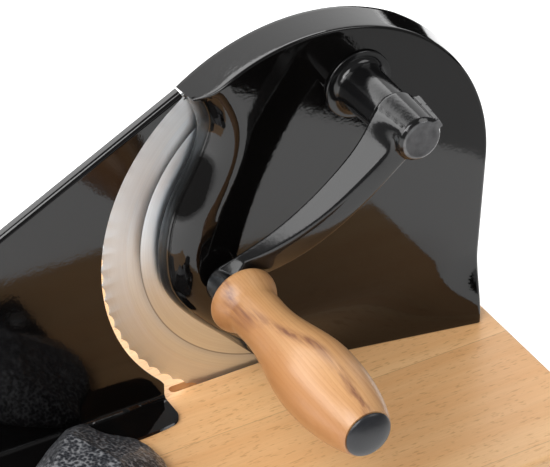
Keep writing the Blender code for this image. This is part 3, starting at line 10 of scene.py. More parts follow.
import bmesh
import bpy
import numpy as np
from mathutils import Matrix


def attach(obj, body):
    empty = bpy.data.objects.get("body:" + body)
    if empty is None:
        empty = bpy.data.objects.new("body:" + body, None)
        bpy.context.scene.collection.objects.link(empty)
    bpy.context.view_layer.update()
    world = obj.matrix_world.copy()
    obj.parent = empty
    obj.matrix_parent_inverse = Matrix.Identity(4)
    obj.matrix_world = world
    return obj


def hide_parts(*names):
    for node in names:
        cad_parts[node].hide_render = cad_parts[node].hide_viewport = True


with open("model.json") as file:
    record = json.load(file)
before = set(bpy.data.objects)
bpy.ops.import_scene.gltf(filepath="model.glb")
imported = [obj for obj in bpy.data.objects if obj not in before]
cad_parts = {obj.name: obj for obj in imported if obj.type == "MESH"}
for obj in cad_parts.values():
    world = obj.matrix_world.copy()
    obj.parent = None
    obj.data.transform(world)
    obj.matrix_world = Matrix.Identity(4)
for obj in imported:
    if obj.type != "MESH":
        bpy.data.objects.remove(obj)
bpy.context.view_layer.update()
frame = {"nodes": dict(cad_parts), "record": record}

MM = 0.001
ORIGIN = np.array([67.3, 16.3, 25.0]) * MM

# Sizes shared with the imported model
BLADE_RADIUS = 95 * MM
BLADE_HALF = 0.75 * MM
BLADE_HEIGHT = 78.7 * MM
SCALLOPS = 72
SCALLOP_DEPTH = 1.2 * MM
CRANK = np.array([19.939, 149.444]) * MM
THROW = 102.42 * MM
THROW_ANGLE = math.radians(229.064)
HANDLE = CRANK + THROW * np.array([math.cos(THROW_ANGLE), math.sin(THROW_ANGLE)])
GRIP_BACK = 37.9 * MM
GRIP_LENGTH = 104 * MM
SHEET = 1.5 * MM
STOP_FRONT = 4.9 * MM
STOP_RADIUS = 96.9 * MM
STOP_LEFT = 218 * MM
STOP_RIGHT = 68 * MM
TONGUE = -127 * MM
TONGUE_HALF = 32.7 * MM
SEAT = 0.3 * MM
HUB_BACK, HUB_FRONT = 48.3, 70.4  # depths in millimetres

# Where the blade's ground band starts
GROUND_BAND = 83.2 * MM


# Building meshes


def placed(points):
    """Slicer-frame points (x, height, depth) as packed-frame points: (x, -depth, height) from its origin."""
    points = np.asarray(points, float)
    return np.stack([points[..., 0], -points[..., 2], points[..., 1]], axis=-1) + ORIGIN


def linked(name, data):
    """An object of this data at the origin, in the scene."""
    made = bpy.data.objects.new(name, data)
    bpy.context.scene.collection.objects.link(made)
    return made


def mesh_of(name, points, faces, weld=0.0, dissolve=0.0):
    """A mesh with its normals out, its points welded and its slivers dissolved within these distances."""
    mesh = bpy.data.meshes.new(name)
    mesh.from_pydata(points.tolist(), [], faces)
    made = bmesh.new()
    made.from_mesh(mesh)
    if weld:
        bmesh.ops.remove_doubles(made, verts=made.verts, dist=weld)
    if dissolve:
        bmesh.ops.dissolve_degenerate(made, edges=made.edges, dist=dissolve)
    bmesh.ops.recalc_face_normals(made, faces=made.faces)
    made.to_mesh(mesh)
    made.free()
    return mesh


def object_of(name, vertices, faces, body, slot, replaces):
    """A piece of these points and quads at the origin, riding on a body."""
    piece = linked(name, mesh_of(name, vertices, faces.tolist(), 1e-6, 1e-7))
    finish_piece(piece, body, slot, replaces)
    return piece


def finish_piece(piece, body, slot, replaces, angle=32):
    """Gives a piece its finish, its sharp edges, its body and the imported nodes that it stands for."""
    piece.data.materials.clear()
    piece.data.materials.append(FINISHES[slot])
    piece.data.shade_smooth()
    piece.data.set_sharp_from_angle(angle=math.radians(angle))
    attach(piece, body)
    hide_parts(*replaces)


def settle(piece):
    """Replaces a piece's mesh with its evaluated one, so that no modifier is left."""
    graph = bpy.context.evaluated_depsgraph_get()
    bpy.context.view_layer.update()
    mesh = bpy.data.meshes.new_from_object(piece.evaluated_get(graph), depsgraph=graph)
    old = piece.data
    piece.modifiers.clear()
    piece.data = mesh
    bpy.data.meshes.remove(old)


def casting(name, mesh, grain, softening, body, slot, replaces):
    """Solids melted into one skin at this grain, then smoothed as thick paint does."""
    piece = linked(name, mesh)
    melt = piece.modifiers.new("Melt", "REMESH")
    melt.mode = "VOXEL"
    melt.voxel_size = grain
    soft = piece.modifiers.new("Soften", "SMOOTH")
    soft.factor = 0.5
    soft.iterations = softening
    settle(piece)
    finish_piece(piece, body, slot, replaces, 80)


def grid_faces(rows, columns, wrap_rows=False, wrap_columns=False):
    """The quads of a grid of points in row order, closed on itself where asked."""
    i = np.arange(rows if wrap_rows else rows - 1)[:, None]
    j = np.arange(columns if wrap_columns else columns - 1)[None, :]
    a = i * columns + j
    b = i * columns + (j + 1) % columns
    c = (i + 1) % rows * columns + (j + 1) % columns
    d = (i + 1) % rows * columns + j
    return np.stack([a, b, c, d], axis=-1).reshape(-1, 4)


def capped_faces(rows, columns):
    """The quads of a stack of closed rings, and a face over each end."""
    ends = [list(range(columns)), list(range((rows - 1) * columns, rows * columns))]
    return grid_faces(rows, columns, wrap_columns=True).tolist() + ends


def rounded(corners, radius, closed, steps=4):
    """A profile with each corner replaced by a short quadratic curve from one side to the other."""
    points = np.asarray(corners, float)
    before = np.roll(points, 1, axis=0)
    after = np.roll(points, -1, axis=0)
    back = before - points
    ahead = after - points
    back_length = np.linalg.norm(back, axis=1)
    ahead_length = np.linalg.norm(ahead, axis=1)
    reach = np.minimum(radius, 0.45 * np.minimum(back_length, ahead_length))
    if not closed:
        reach[0] = reach[-1] = 0
    start = points + back * (reach / back_length)[:, None]
    end = points + ahead * (reach / ahead_length)[:, None]
    t = np.linspace(0, 1, steps + 1)[None, :, None]
    curve = start[:, None] * (1 - t) ** 2 + points[:, None] * 2 * t * (1 - t) + end[:, None] * t**2
    flat = curve.reshape(-1, 2)
    keep = np.concatenate([[True], np.linalg.norm(np.diff(flat, axis=0), axis=1) > 1e-8])
    return flat[keep]


def revolved(profile, centre, count, closed=False):
    """Points and quads of the profile (radius, length) about an axis towards the user.

    A point is (cx + r cos a, cz + r sin a) at its length.
    """
    angles = np.linspace(0, 2 * math.pi, count, endpoint=False)
    x = centre[0] + profile[:, :1] * np.cos(angles)
    z = centre[1] + profile[:, :1] * np.sin(angles)
    points = np.stack([x, z, np.broadcast_to(profile[:, 1:], x.shape)], axis=-1)
    return placed(points).reshape(-1, 3), grid_faces(len(profile), count, wrap_rows=closed, wrap_columns=True)


def turned(name, profile, centre, body, slot, replaces, count=96, edge=0.25 * MM):
    """A turned piece from its profile, with its corners rounded by the edge."""
    closed = profile[:, 0].min() > 0
    points, faces = revolved(rounded(profile, edge, closed), centre, count, closed)
    return object_of(name, points, faces, body, slot, replaces)


def along(line, distances):
    """Points at the given distances along a polyline."""
    steps = np.linalg.norm(np.diff(line, axis=0), axis=1)
    travelled = np.concatenate([[0], np.cumsum(steps)])
    return np.stack([np.interp(distances, travelled, line[:, k]) for k in range(line.shape[1])], axis=1)


def length_of(line):
    """The length of a polyline."""
    return np.linalg.norm(np.diff(line, axis=0), axis=1).sum()


def bezier(a, b, c, d, t):
    """The cubic curve from a to d with b and c as its handles, at each t."""
    t = np.asarray(t, float)
    a, b, c, d = (np.asarray(p, float) for p in (a, b, c, d))
    if a.ndim:
        t = t[..., None]
    return a * (1 - t) ** 3 + 3 * b * t * (1 - t) ** 2 + 3 * c * t * t * (1 - t) + d * t**3


# Node groups


def group(name, inputs, outputs):
    """The wiring of an empty shader group with these named sockets, its given values, and its output node."""
    made = bpy.data.node_groups.new(name, "ShaderNodeTree")
    for label, kind, value in inputs:
        made.interface.new_socket(label, in_out="INPUT", socket_type=kind).default_value = value
    for label, kind in outputs:
        made.interface.new_socket(label, in_out="OUTPUT", socket_type=kind)
    w = Wiring(made)
    return w, w.node("NodeGroupInput").outputs, w.node("NodeGroupOutput")


class Wiring:
    """Short words for adding nodes to one tree."""

    def __init__(self, tree):
        self.tree = tree

    def node(self, kind, **values):
        """Adds a node with these settings."""
        made = self.tree.nodes.new(kind)
        for key, value in values.items():
            setattr(made, key, value)
        return made

    def put(self, socket, value):
        """Links a socket to another one, or sets its value."""
        if isinstance(value, bpy.types.NodeSocket):
            self.tree.links.new(value, socket)
        else:
            socket.default_value = value

    def feed(self, node, **values):
        """Links or sets a node's inputs by their names, _ standing for a space."""
        for label, value in values.items():
            self.put(node.inputs[label.replace("_", " ")], value)

    def use(self, tree, **values):
        """Places a node group, feeds it and gives its outputs."""
        made = self.node("ShaderNodeGroup", node_tree=tree)
        self.feed(made, **values)
        return made.outputs

    def own_place(self):
        """The piece's own Object coordinates."""
        return self.node("ShaderNodeTexCoord").outputs["Object"]

    def split(self, vector):
        """A vector's X, Y and Z."""
        made = self.node("ShaderNodeSeparateXYZ")
        self.put(made.inputs[0], vector)
        return tuple(made.outputs)

    def joined(self, *parts):
        """A vector of up to three parts."""
        made = self.node("ShaderNodeCombineXYZ")
        for socket, part in zip(made.inputs, parts):
            self.put(socket, part)
        return made.outputs[0]

    def math(self, operation, a, b=0.0, clamp=False):
        """One sum of numbers."""
        made = self.node("ShaderNodeMath", operation=operation, use_clamp=clamp)
        self.put(made.inputs[0], a)
        self.put(made.inputs[1], b)
        return made.outputs[0]

    def plus(self, a, b, clamp=False):
        return self.math("ADD", a, b, clamp)

    def minus(self, a, b):
        return self.math("SUBTRACT", a, b)

    def times(self, a, b):
        return self.math("MULTIPLY", a, b)

    def vector(self, operation, a, b=(0, 0, 0)):
        """One sum of vectors: a number for a length, else a vector."""
        made = self.node("ShaderNodeVectorMath", operation=operation)
        self.put(made.inputs[0], a)
        self.put(made.inputs[1], b)
        return made.outputs["Value" if operation == "LENGTH" else "Vector"]

    def noise(self, vector, scale, detail=3.0, roughness=0.5, distortion=0.0):
        """Noise from 0 to 1."""
        made = self.node("ShaderNodeTexNoise")
        self.feed(made, Vector=vector, Scale=scale, Detail=detail, Roughness=roughness, Distortion=distortion)
        return made.outputs["Fac"]

    def ramp(self, value, *stops):
        """The colour at a value, between stops of (place, colour)."""
        made = self.node("ShaderNodeValToRGB")
        self.put(made.inputs[0], value)
        band = made.color_ramp.elements
        while len(band) < len(stops):
            band.new(0.5)
        for element, (place, colour) in zip(band, stops):
            element.position = place
            element.color = (*colour, 1)
        return made.outputs["Color"]

    def spread(self, value, low, high, to_low=0.0, to_high=1.0):
        """The value's range from low to high moved to another range, and held there beyond it."""
        made = self.node("ShaderNodeMapRange")
        self.feed(made, Value=value, From_Min=low, From_Max=high, To_Min=to_low, To_Max=to_high)
        return made.outputs["Result"]

    def mix(self, share, a, b):
        """Colour a, with its share of colour b."""
        made = self.node("ShaderNodeMix", data_type="RGBA")
        self.put(made.inputs["Factor"], share)
        self.put(made.inputs[6], a)
        self.put(made.inputs[7], b)
        return made.outputs[2]

    def stretch(self, vector, scale, location=(0, 0, 0), rotation=(0, 0, 0)):
        """The vector scaled, then turned, then moved."""
        made = self.node("ShaderNodeMapping")
        self.feed(made, Vector=vector, Scale=scale, Location=location, Rotation=rotation)
        return made.outputs["Vector"]

    def about(self, vector, centre):
        """The vector measured from a centre."""
        return self.stretch(vector, (1, 1, 1), tuple(-float(c) for c in centre))

    def bump(self, height, strength, distance):
        """The normal of a surface with this fine relief."""
        made = self.node("ShaderNodeBump")
        self.feed(made, Height=height, Strength=strength, Distance=distance)
        return made.outputs["Normal"]


COLOUR, NUMBER, ARROW = "NodeSocketColor", "NodeSocketFloat", "NodeSocketVector"


def settled_dust():
    """Faint uneven gloss: broad smears and fine specks, as a mask and as a roughness."""
    w, given, out = group(
        "Settled dust",
        (("Vector", ARROW, (0, 0, 0)), ("Roughness", NUMBER, 0.2), ("Amount", NUMBER, 0.1)),
        (("Roughness", NUMBER), ("Mask", NUMBER)),
    )
    smear = w.noise(given["Vector"], 22.0, 5.0, 0.62, 0.4)
    speck = w.spread(w.noise(given["Vector"], 900.0, 2.0, 0.5), 0.66, 0.76)
    mask = w.plus(w.spread(smear, 0.42, 0.75), w.times(speck, 0.6), clamp=True)
    w.feed(out, Roughness=w.plus(given["Roughness"], w.times(mask, given["Amount"])), Mask=mask)
    return w.tree


def ground_rings():
    """Turning or grinding marks: noise of the distance from the axis alone, broken up a little."""
    w, given, out = group(
        "Ground rings",
        (("Vector", ARROW, (0, 0, 0)), ("Fineness", NUMBER, 2000.0)),
        (("Shade", NUMBER), ("Height", NUMBER), ("Radius", NUMBER)),
    )
    radius = w.vector("LENGTH", w.vector("MULTIPLY", given["Vector"], (1, 0, 1)))
    drift = w.times(w.noise(given["Vector"], 30.0, 2.0), 1.4)
    fine = w.noise(w.joined(w.times(radius, given["Fineness"]), drift), 1.0, 4.0, 0.7)
    broad = w.noise(w.joined(w.times(radius, 170.0)), 1.0, 2.0)
    w.feed(out, Shade=w.plus(w.times(fine, 0.6), w.times(broad, 0.4)), Height=fine, Radius=radius)
    return w.tree


def wood_figure():
    """Wood along the vector's X: long growth streaks, short dark flecks, pores and broad colour change."""
    w, given, out = group(
        "Wood figure",
        (
            ("Vector", ARROW, (0, 0, 0)),
            ("Light", COLOUR, (0.8, 0.6, 0.4, 1)),
            ("Dark", COLOUR, (0.6, 0.4, 0.2, 1)),
            ("Fleck", COLOUR, (0.4, 0.2, 0.1, 1)),
            ("Fleck amount", NUMBER, 0.5),
        ),
        (("Colour", COLOUR), ("Height", NUMBER), ("Roughness", NUMBER)),
    )
    source = given["Vector"]
    streak = w.noise(w.stretch(source, (3.0, 60.0, 60.0)), 1.0, 4.0, 0.55, 0.6)
    broad = w.noise(w.stretch(source, (4.0, 14.0, 14.0)), 1.0, 2.0, 0.5, 0.3)
    fibre = w.noise(w.stretch(source, (60.0, 1500.0, 1500.0)), 1.0, 2.0, 0.6)
    fleck = w.noise(w.stretch(source, (260.0, 1100.0, 1100.0)), 1.0, 1.5, 0.4)
    share = w.plus(w.times(streak, 0.6), w.times(broad, 0.4))
    base = w.mix(w.spread(share, 0.36, 0.64), given["Dark"], given["Light"])
    base = w.mix(w.times(w.spread(fibre, 0.35, 0.7), 0.16), base, given["Fleck"])
    spots = w.times(w.spread(fleck, 0.6, 0.72), given["Fleck amount"])
    w.feed(out, Colour=w.mix(spots, base, given["Fleck"]), Height=w.minus(w.times(fibre, 0.5), spots),
           Roughness=w.spread(share, 0.3, 0.7, 0.46, 0.36))
    return w.tree


DUST = settled_dust()
RINGS = ground_rings()
WOOD = wood_figure()


# Materials


def finish(name, colour, roughness, metallic=0.0, **sockets):
    """A new material with its Principled shader's own sockets set, its wiring, and its Object coordinates."""
    made = bpy.data.materials.new(name)
    made.use_nodes = True
    shader = made.node_tree.nodes["Principled BSDF"]
    w = Wiring(made.node_tree)
    w.feed(shader, Base_Color=(*colour, 1), Roughness=roughness, Metallic=metallic, **sockets)
    return made, shader, w, w.own_place()


def dusty(w, shader, where, roughness, amount):
    """Gives a shader the settled dust's uneven gloss, and returns the dust's mask."""
    dust = w.use(DUST, Vector=where, Roughness=roughness, Amount=amount)
    w.feed(shader, Roughness=dust["Roughness"])
    return dust["Mask"]


def enamel(name, colour, roughness, peel):
    """Stoved enamel: one dark glossy layer, with a fine orange peel over broader waves."""
    made, shader, w, where = finish(name, colour, roughness)
    mask = dusty(w, shader, where, roughness, 0.03)
    pale = (*(1.6 * c + 0.002 for c in colour), 1)
    bumps = w.plus(w.times(w.noise(where, 700.0, 2.0, 0.5), 0.6), w.noise(where, 190.0, 2.0, 0.5))
    w.feed(shader, Base_Color=w.mix(w.times(mask, 0.3), (*colour, 1), pale),
           Normal=w.bump(bumps, peel, 0.0006))
    return made


def crank_enamel():
    """The crank's enamel, with a pale, uneven painted reflection on the hub's end face."""
    made = enamel("Crank enamel", (0.005, 0.005, 0.0053), 0.13, 0.06)
    shader = made.node_tree.nodes["Principled BSDF"]
    w = Wiring(made.node_tree)
    where = w.own_place()
    end = float(placed([0, 0, (HUB_FRONT - 0.4) * MM])[1])
    # Painted reflection: the hub's end face is painted paler and uneven, standing in for the floor that it
    # reflects.
    painted_reflection = w.spread(w.split(where)[1], end + 0.4 * MM, end)
    painted_reflection = w.times(painted_reflection, w.spread(w.noise(where, 180.0, 4.0, 0.6), 0.3, 0.65, 0.6, 1.0))
    paint = shader.inputs["Base Color"].links[0].from_socket
    w.feed(shader, Base_Color=w.mix(painted_reflection, paint, (0.13, 0.13, 0.134, 1)))
    return made


def hammertone():
    """Hammer paint: rounded dark cells with light metallic rims, over a lightly pitted casting."""
    made, shader, w, where = finish("Hammertone paint", (0.1, 0.11, 0.12), 0.38, 0.35, Coat_Weight=0.4)
    cells = w.node("ShaderNodeTexVoronoi", feature="SMOOTH_F1")
    w.feed(cells, Vector=where, Scale=700.0, Smoothness=0.6)
    grit = w.noise(where, 1500.0, 3.0, 0.6)
    broad = w.noise(where, 60.0, 3.0)
    share = w.plus(w.times(cells.outputs["Distance"], 0.8), w.times(grit, 0.5))
    share = w.plus(share, w.times(w.minus(broad, 0.5), 0.3))
    colour = w.ramp(share, (0.4, (0.022, 0.024, 0.03)), (0.62, (0.085, 0.088, 0.098)),
                    (0.84, (0.34, 0.345, 0.36)))
    w.feed(shader, Base_Color=colour, Roughness=w.spread(share, 0.3, 0.9, 0.3, 0.5),
           Normal=w.bump(share, 0.45, 0.0006))
    return made


def blade_steel():
    """Ground steel in rings about the axis, with a duller ground band along the cutting edge."""
    made, shader, w, where = finish("Ground blade steel", (0.66, 0.65, 0.635), 0.4, 1.0, Anisotropic=0.3)
    rings = w.use(RINGS, Vector=w.about(where, BLADE_CENTRE), Fineness=2600.0)
    shade = rings["Shade"]
    tone = w.ramp(shade, (0.3, (0.64, 0.69, 0.74)), (0.55, (0.77, 0.835, 0.885)), (0.75, (0.86, 0.925, 0.98)))
    radius = rings["Radius"]
    groove, soft = 76.1 * MM, 0.4 * MM
    # Painted shade: a thin dark ring in the steel's colour at the groove's step, where shade falls into the
    # groove.
    step = w.times(w.spread(radius, groove - soft, groove), w.spread(radius, groove + soft, groove))
    band = w.spread(radius, GROUND_BAND - 0.3 * MM, GROUND_BAND)
    tone = w.mix(w.times(step, 0.75), tone, (0.16, 0.15, 0.15, 1))
    tone = w.mix(w.times(band, 0.3), tone, (0.82, 0.81, 0.79, 1))
    rough = w.plus(w.spread(shade, 0.3, 0.7, 0.34, 0.46), w.times(band, 0.08))
    w.feed(shader, Base_Color=tone, Roughness=rough, Normal=w.bump(rings["Height"], 0.25, 0.0001))
    return made


def machined(name, colour, roughness, centre, fineness=1500.0):
    """Plain machined steel with turning marks about the part's own drive axis."""
    made, shader, w, where = finish(name, colour, roughness, 1.0)
    rings = w.use(RINGS, Vector=w.about(where, centre), Fineness=fineness)
    dark = (*(0.6 * c for c in colour), 1)
    tone = w.mix(w.spread(rings["Shade"], 0.3, 0.7), dark, (*colour, 1))
    dusty(w, shader, where, roughness, 0.2)
    w.feed(shader, Base_Color=tone, Normal=w.bump(rings["Height"], 0.2, 0.0001))
    return made


def moulded(name, colour, roughness, grain, amount):
    """Moulded plastic or rubber: an even colour with a fine grain and a little dust."""
    made, shader, w, where = finish(name, colour, roughness)
    mask = dusty(w, shader, where, roughness, 0.15)
    pale = (*(1.7 * c + 0.01 for c in colour), 1)
    w.feed(shader, Base_Color=w.mix(w.times(mask, 0.4), (*colour, 1), pale),
           Normal=w.bump(w.noise(where, grain, 3.0, 0.6), amount, 0.0003))
    return made


def beech():
    """Beech board glued from lamellas, each with its own tone, with short ray flecks along X."""
    lamella, first_joint = 75.3 * MM, 21.6 * MM
    made, shader, w, where = finish("Beech", (0.7, 0.42, 0.2), 0.45, Coat_Weight=0.1, Coat_Roughness=0.3)
    strip = w.times(w.plus(w.split(where)[1], first_joint), 1 / lamella)
    number = w.math("FLOOR", strip)
    moved = w.vector("ADD", where, w.joined(w.times(number, 0.83), 0, w.times(number, 0.37)))
    figure = w.use(WOOD, Vector=moved, Light=(0.93, 0.59, 0.29, 1), Dark=(0.84, 0.45, 0.19, 1),
                   Fleck=(0.5, 0.22, 0.07, 1), Fleck_amount=0.5)
    tone = w.math("FRACT", w.times(w.math("SINE", w.times(number, 12.9)), 43.7))
    colour = w.mix(w.times(tone, 0.22), figure["Colour"], (0.6, 0.34, 0.16, 1))
    near = w.math("ABSOLUTE", w.minus(w.math("FRACT", strip), 0.5))
    joint = w.spread(near, 0.4965, 0.4995)
    colour = w.mix(w.times(joint, 0.5), colour, (0.3, 0.16, 0.07, 1))
    w.feed(shader, Base_Color=colour, Roughness=figure["Roughness"],
           Normal=w.bump(figure["Height"], 0.25, 0.0002))
    return made


def growth_rings():
    """Growth rings about a pith along Y: a sawtooth of the distance, bent by noise, and a slower change."""
    w, given, out = group(
        "Growth rings",
        (("Vector", ARROW, (0, 0, 0)), ("Pitch", NUMBER, 0.002), ("Bend", NUMBER, 0.004)),
        (("Ring", NUMBER), ("Tone", NUMBER)),
    )
    source = given["Vector"]
    distance = w.vector("LENGTH", w.vector("MULTIPLY", source, (1, 0.12, 1)))
    bent = w.noise(w.stretch(source, (30.0, 9.0, 30.0)), 1.0, 2.0, 0.5)
    distance = w.plus(distance, w.times(bent, given["Bend"]))
    turns = w.math("DIVIDE", distance, given["Pitch"])
    w.feed(out, Ring=w.math("FRACT", turns), Tone=w.noise(w.joined(w.times(turns, 0.31)), 1.0, 2.0, 0.6))
    return w.tree


def turned_wood():
    """Waxed hardwood turned along the handle: curving growth rings, fine streaks, pores and one dark vein, with
    painted shade on its lower left side.
    """
    made, shader, w, where = finish("Turned hardwood", (0.7, 0.42, 0.18), 0.34,
                                    Coat_Weight=0.3, Coat_Roughness=0.2)
    x, _, z = placed([*HANDLE, 0])
    pith = w.about(where, (x - 55 * MM, -90 * MM, z - 20 * MM))
    rings = w.use(growth_rings(), Vector=pith, Pitch=1.7 * MM, Bend=16 * MM)
    ring = w.ramp(rings["Ring"], (0.0, (0.65, 0.37, 0.165)), (0.6, (0.56, 0.3, 0.12)),
                  (0.9, (0.4, 0.17, 0.055)), (1.0, (0.64, 0.35, 0.15)))
    tone = w.ramp(rings["Tone"], (0.35, (0.46, 0.21, 0.075)), (0.62, (0.66, 0.38, 0.175)))
    lengthways = w.stretch(where, (1, 1, 1), rotation=(0, 0, math.pi / 2))
    figure = w.use(WOOD, Vector=lengthways, Light=(0.63, 0.36, 0.155, 1), Dark=(0.44, 0.2, 0.07, 1),
                   Fleck=(0.22, 0.085, 0.03, 1), Fleck_amount=0.3)
    colour = w.mix(0.42, w.mix(0.62, ring, tone), figure["Colour"])
    place = w.split(where)
    wander = w.noise(w.stretch(where, (25.0, 9.0, 25.0)), 1.0, 2.0, 0.5, 0.3)
    off = w.plus(w.minus(place[0], float(x)), w.times(w.minus(wander, 0.5), 14 * MM))
    height = w.minus(place[2], float(z))
    # Painted shade: the grip's lower left side, away from the light, is painted darker brown by this mask.
    side = w.plus(w.times(off, 0.62), w.times(height, 0.78))
    colour = w.mix(w.spread(side, 9 * MM, -7 * MM, 0.0, 0.72), colour, (0.36, 0.145, 0.045, 1))
    middle = w.spread(place[1], -40 * MM, -88 * MM, -9.5 * MM, 0.0)
    vein = w.spread(w.math("ABSOLUTE", w.minus(off, middle)), 3.4 * MM, 0.6 * MM)
    upper = w.spread(height, 0.0, 4 * MM)
    fray = w.noise(w.stretch(where, (400.0, 30.0, 400.0)), 1.0, 3.0, 0.6)
    vein = w.times(w.times(vein, upper), w.spread(fray, 0.34, 0.66))
    colour = w.mix(w.times(vein, 0.9), colour, (0.17, 0.06, 0.035, 1))
    w.feed(shader, Base_Color=colour, Roughness=figure["Roughness"],
           Normal=w.bump(figure["Height"], 0.3, 0.0002))
    return made


BLADE_CENTRE = placed([0, BLADE_HEIGHT, 0])
CRANK_CENTRE = placed([*CRANK, 0])

FINISHES = {
    "beech": beech(),
    "turned_wood": turned_wood(),
    "foot_rubber": moulded("Foot rubber", (0.03, 0.03, 0.03), 0.75, 2500.0, 0.4),
    "housing_paint": enamel("Housing enamel", (0.0024, 0.0021, 0.002), 0.05, 0.035),
    "sheet_paint": enamel("Sheet enamel", (0.0024, 0.0022, 0.0022), 0.06, 0.04),
    "crank_paint": crank_enamel(),
    "hammertone_paint": hammertone(),
    "blade_steel": blade_steel(),
    "gear_steel": machined("Oiled gear steel", (0.3, 0.29, 0.28), 0.34, BLADE_CENTRE),
    "screw_steel": machined("Bright screw steel", (0.6, 0.6, 0.6), 0.3, CRANK_CENTRE),
    "frame_steel": machined("Rolled plate steel", (0.28, 0.28, 0.29), 0.45, BLADE_CENTRE, 400.0),
    "insert_brass": machined("Insert brass", (0.7, 0.48, 0.2), 0.3, CRANK_CENTRE),
    "cap_plastic": moulded("Cap plastic", (0.014, 0.015, 0.018), 0.32, 1800.0, 0.1),
    "knob_plastic": moulded("Knob plastic", (0.015, 0.015, 0.016), 0.42, 1800.0, 0.25),
}


# Housing

WALL = 1.5 * MM
FACE_DEPTH = 20 * MM
FACE_RADIUS = 89.8 * MM
FACE_RAISE = 11.3 * MM
FACE_FOOT = 87.5 * MM
LIP_DEPTH = 3.8 * MM
LIP_RADIUS = 69 * MM
LIP_ROLL = 15 * MM
LIP_FOOT = -14.8 * MM
RIM_BACK = 2 * MM
RIM_RADIUS = 98.7 * MM
RIM_SHIFT = 1.5 * MM
RIM_FOOT = 92 * MM
FOLD = 1.7 * MM


def polar(radius, degrees):
    """Points at a radius and angles about the blade's centre: (r cos a, h + r sin a)."""
    a = np.radians(degrees)
    return np.stack([radius * np.cos(a), BLADE_HEIGHT + radius * np.sin(a)], axis=-1)


def lip_line():
    """The housing's left edge: a neck below the tip, an arc about the blade, a bend and a straight foot."""
    arc_start, arc_end = 150, 190
    neck = bezier(polar(96.1 * MM, 124.8), polar(77.2 * MM, 125.5), polar(72.5 * MM, 132.3),
                  polar(LIP_RADIUS, arc_start), np.linspace(0, 1, 80, endpoint=False))
    round_part = polar(LIP_RADIUS, np.linspace(arc_start, arc_end, 60, endpoint=False))
    bend_start, bend_end = polar(LIP_RADIUS, arc_end), polar(64.7 * MM, 230)
    foot = np.array([LIP_FOOT, SEAT])
    down = (bend_end - foot) / np.linalg.norm(bend_end - foot)
    tangent = np.array([-math.sin(math.radians(arc_end)), math.cos(math.radians(arc_end))])
    handle_length = 15 * MM
    bend = bezier(bend_start, bend_start + handle_length * tangent, bend_end + handle_length * down, bend_end,
                  np.linspace(0, 1, 60, endpoint=False))
    straight = bend_end + (foot - bend_end) * np.linspace(0, 1, 60)[:, None]
    return np.concatenate([neck, round_part, bend, straight])


def rim_lines():
    """The fold round the face, about a raised centre, and the rim's back edge, each down to the board.

    The face's side is straight, and the back's swings out by a quarter sine.
    """
    angles = np.linspace(math.radians(128.2), 0, 200)
    centre = np.array([0, BLADE_HEIGHT + FACE_RAISE])
    face = centre + FACE_RADIUS * np.stack([np.cos(angles), np.sin(angles)], axis=1)
    down = np.linspace(1, 0, 80)[1:, None]
    foot = np.array([FACE_FOOT, SEAT])
    face_wall = foot + (face[-1] - foot) * down
    angles = np.linspace(math.radians(125.5), 0, 200)
    around = np.stack([np.cos(angles), np.sin(angles)], axis=1)
    back = np.array([RIM_SHIFT, BLADE_HEIGHT]) + RIM_RADIUS * around
    foot = np.array([RIM_FOOT, SEAT])
    back_wall = foot + (back[-1] - foot) * np.hstack([np.sin(down * math.pi / 2), down])
    return np.concatenate([face, face_wall]), np.concatenate([back, back_wall])


def face_depth(points, lip):
    """Depth of the pressed face: a quarter ellipse up from the lip, and a forward lean of the foot.

    The lean grows to the right of its hinge line, and below its top by the smooth step 3 t^2 - 2 t^3.
    """
    lean_top, hinge, tangent = 38 * MM, 51 * MM, 0.194
    flat = points.reshape(-1, 2)
    gaps = np.concatenate([
        np.sqrt(((part[:, None] - lip[None]) ** 2).sum(axis=2).min(axis=1))
        for part in np.array_split(flat, 40)
    ]).reshape(points.shape[:-1])
    near = 1 - np.clip(gaps / LIP_ROLL, 0, 1)
    rise = np.sqrt(1 - near**2)
    low = np.clip(1 - points[..., 1] / lean_top, 0, 1)
    flare = tangent * (points[..., 0] - hinge) * low * low * (3 - 2 * low)
    return LIP_DEPTH + (FACE_DEPTH + flare - LIP_DEPTH) * rise


def housing():
    """The pressed shell: rows from the lip across the face, round the fold and back along the rim.

    Row v runs between the same shares of the lip and rim lines, which are crowded towards the tip.
    """
    rows = 170
    lip_all = lip_line()
    front_all, back_all = rim_lines()
    share = np.linspace(0, 1, rows) ** 1.4
    lip = along(lip_all, share * length_of(lip_all))
    front = along(front_all, share * length_of(front_all))
    back = along(back_all, share * length_of(back_all))
    dense = along(lip_all, np.linspace(0, length_of(lip_all), 1600))
    span = np.linalg.norm(front - lip, axis=1)
    roll = np.minimum(LIP_ROLL / np.maximum(span - FOLD, LIP_ROLL), 0.62)
    inner = 1 - FOLD / span
    first = roll[:, None] * (1 - np.cos(np.linspace(0, math.pi / 2, 26)))[None]
    rest = roll[:, None] + (1 - roll[:, None]) * np.linspace(0, 1, 24)[None, 1:]
    steps = np.concatenate([first, rest], axis=1) * inner[:, None]
    flat = lip[:, None] + (front - lip)[:, None] * steps[..., None]
    depth = face_depth(flat, dense)
    depth[:, 0] = LIP_DEPTH
    face = np.concatenate([flat, depth[..., None]], axis=2)
    corner = np.column_stack([front, face_depth(front, dense)])
    end = np.column_stack([back, np.full(rows, -RIM_BACK)])
    run = end - corner
    after = corner + run * (FOLD / np.linalg.norm(run, axis=1))[:, None]
    t = np.linspace(0, 1, 9)[None, 1:, None]
    fold = face[:, -1:] * (1 - t) ** 2 + corner[:, None] * 2 * t * (1 - t) + after[:, None] * t**2
    wall = after[:, None] + (end - after)[:, None] * np.linspace(0, 1, 10)[None, 1:, None]
    grid = np.concatenate([face, fold, wall], axis=1)
    piece = object_of("housing_shell", placed(grid).reshape(-1, 3), grid_faces(rows, grid.shape[1]), "base",
                      "housing_paint", ["housing"])
    thicken(piece, WALL)


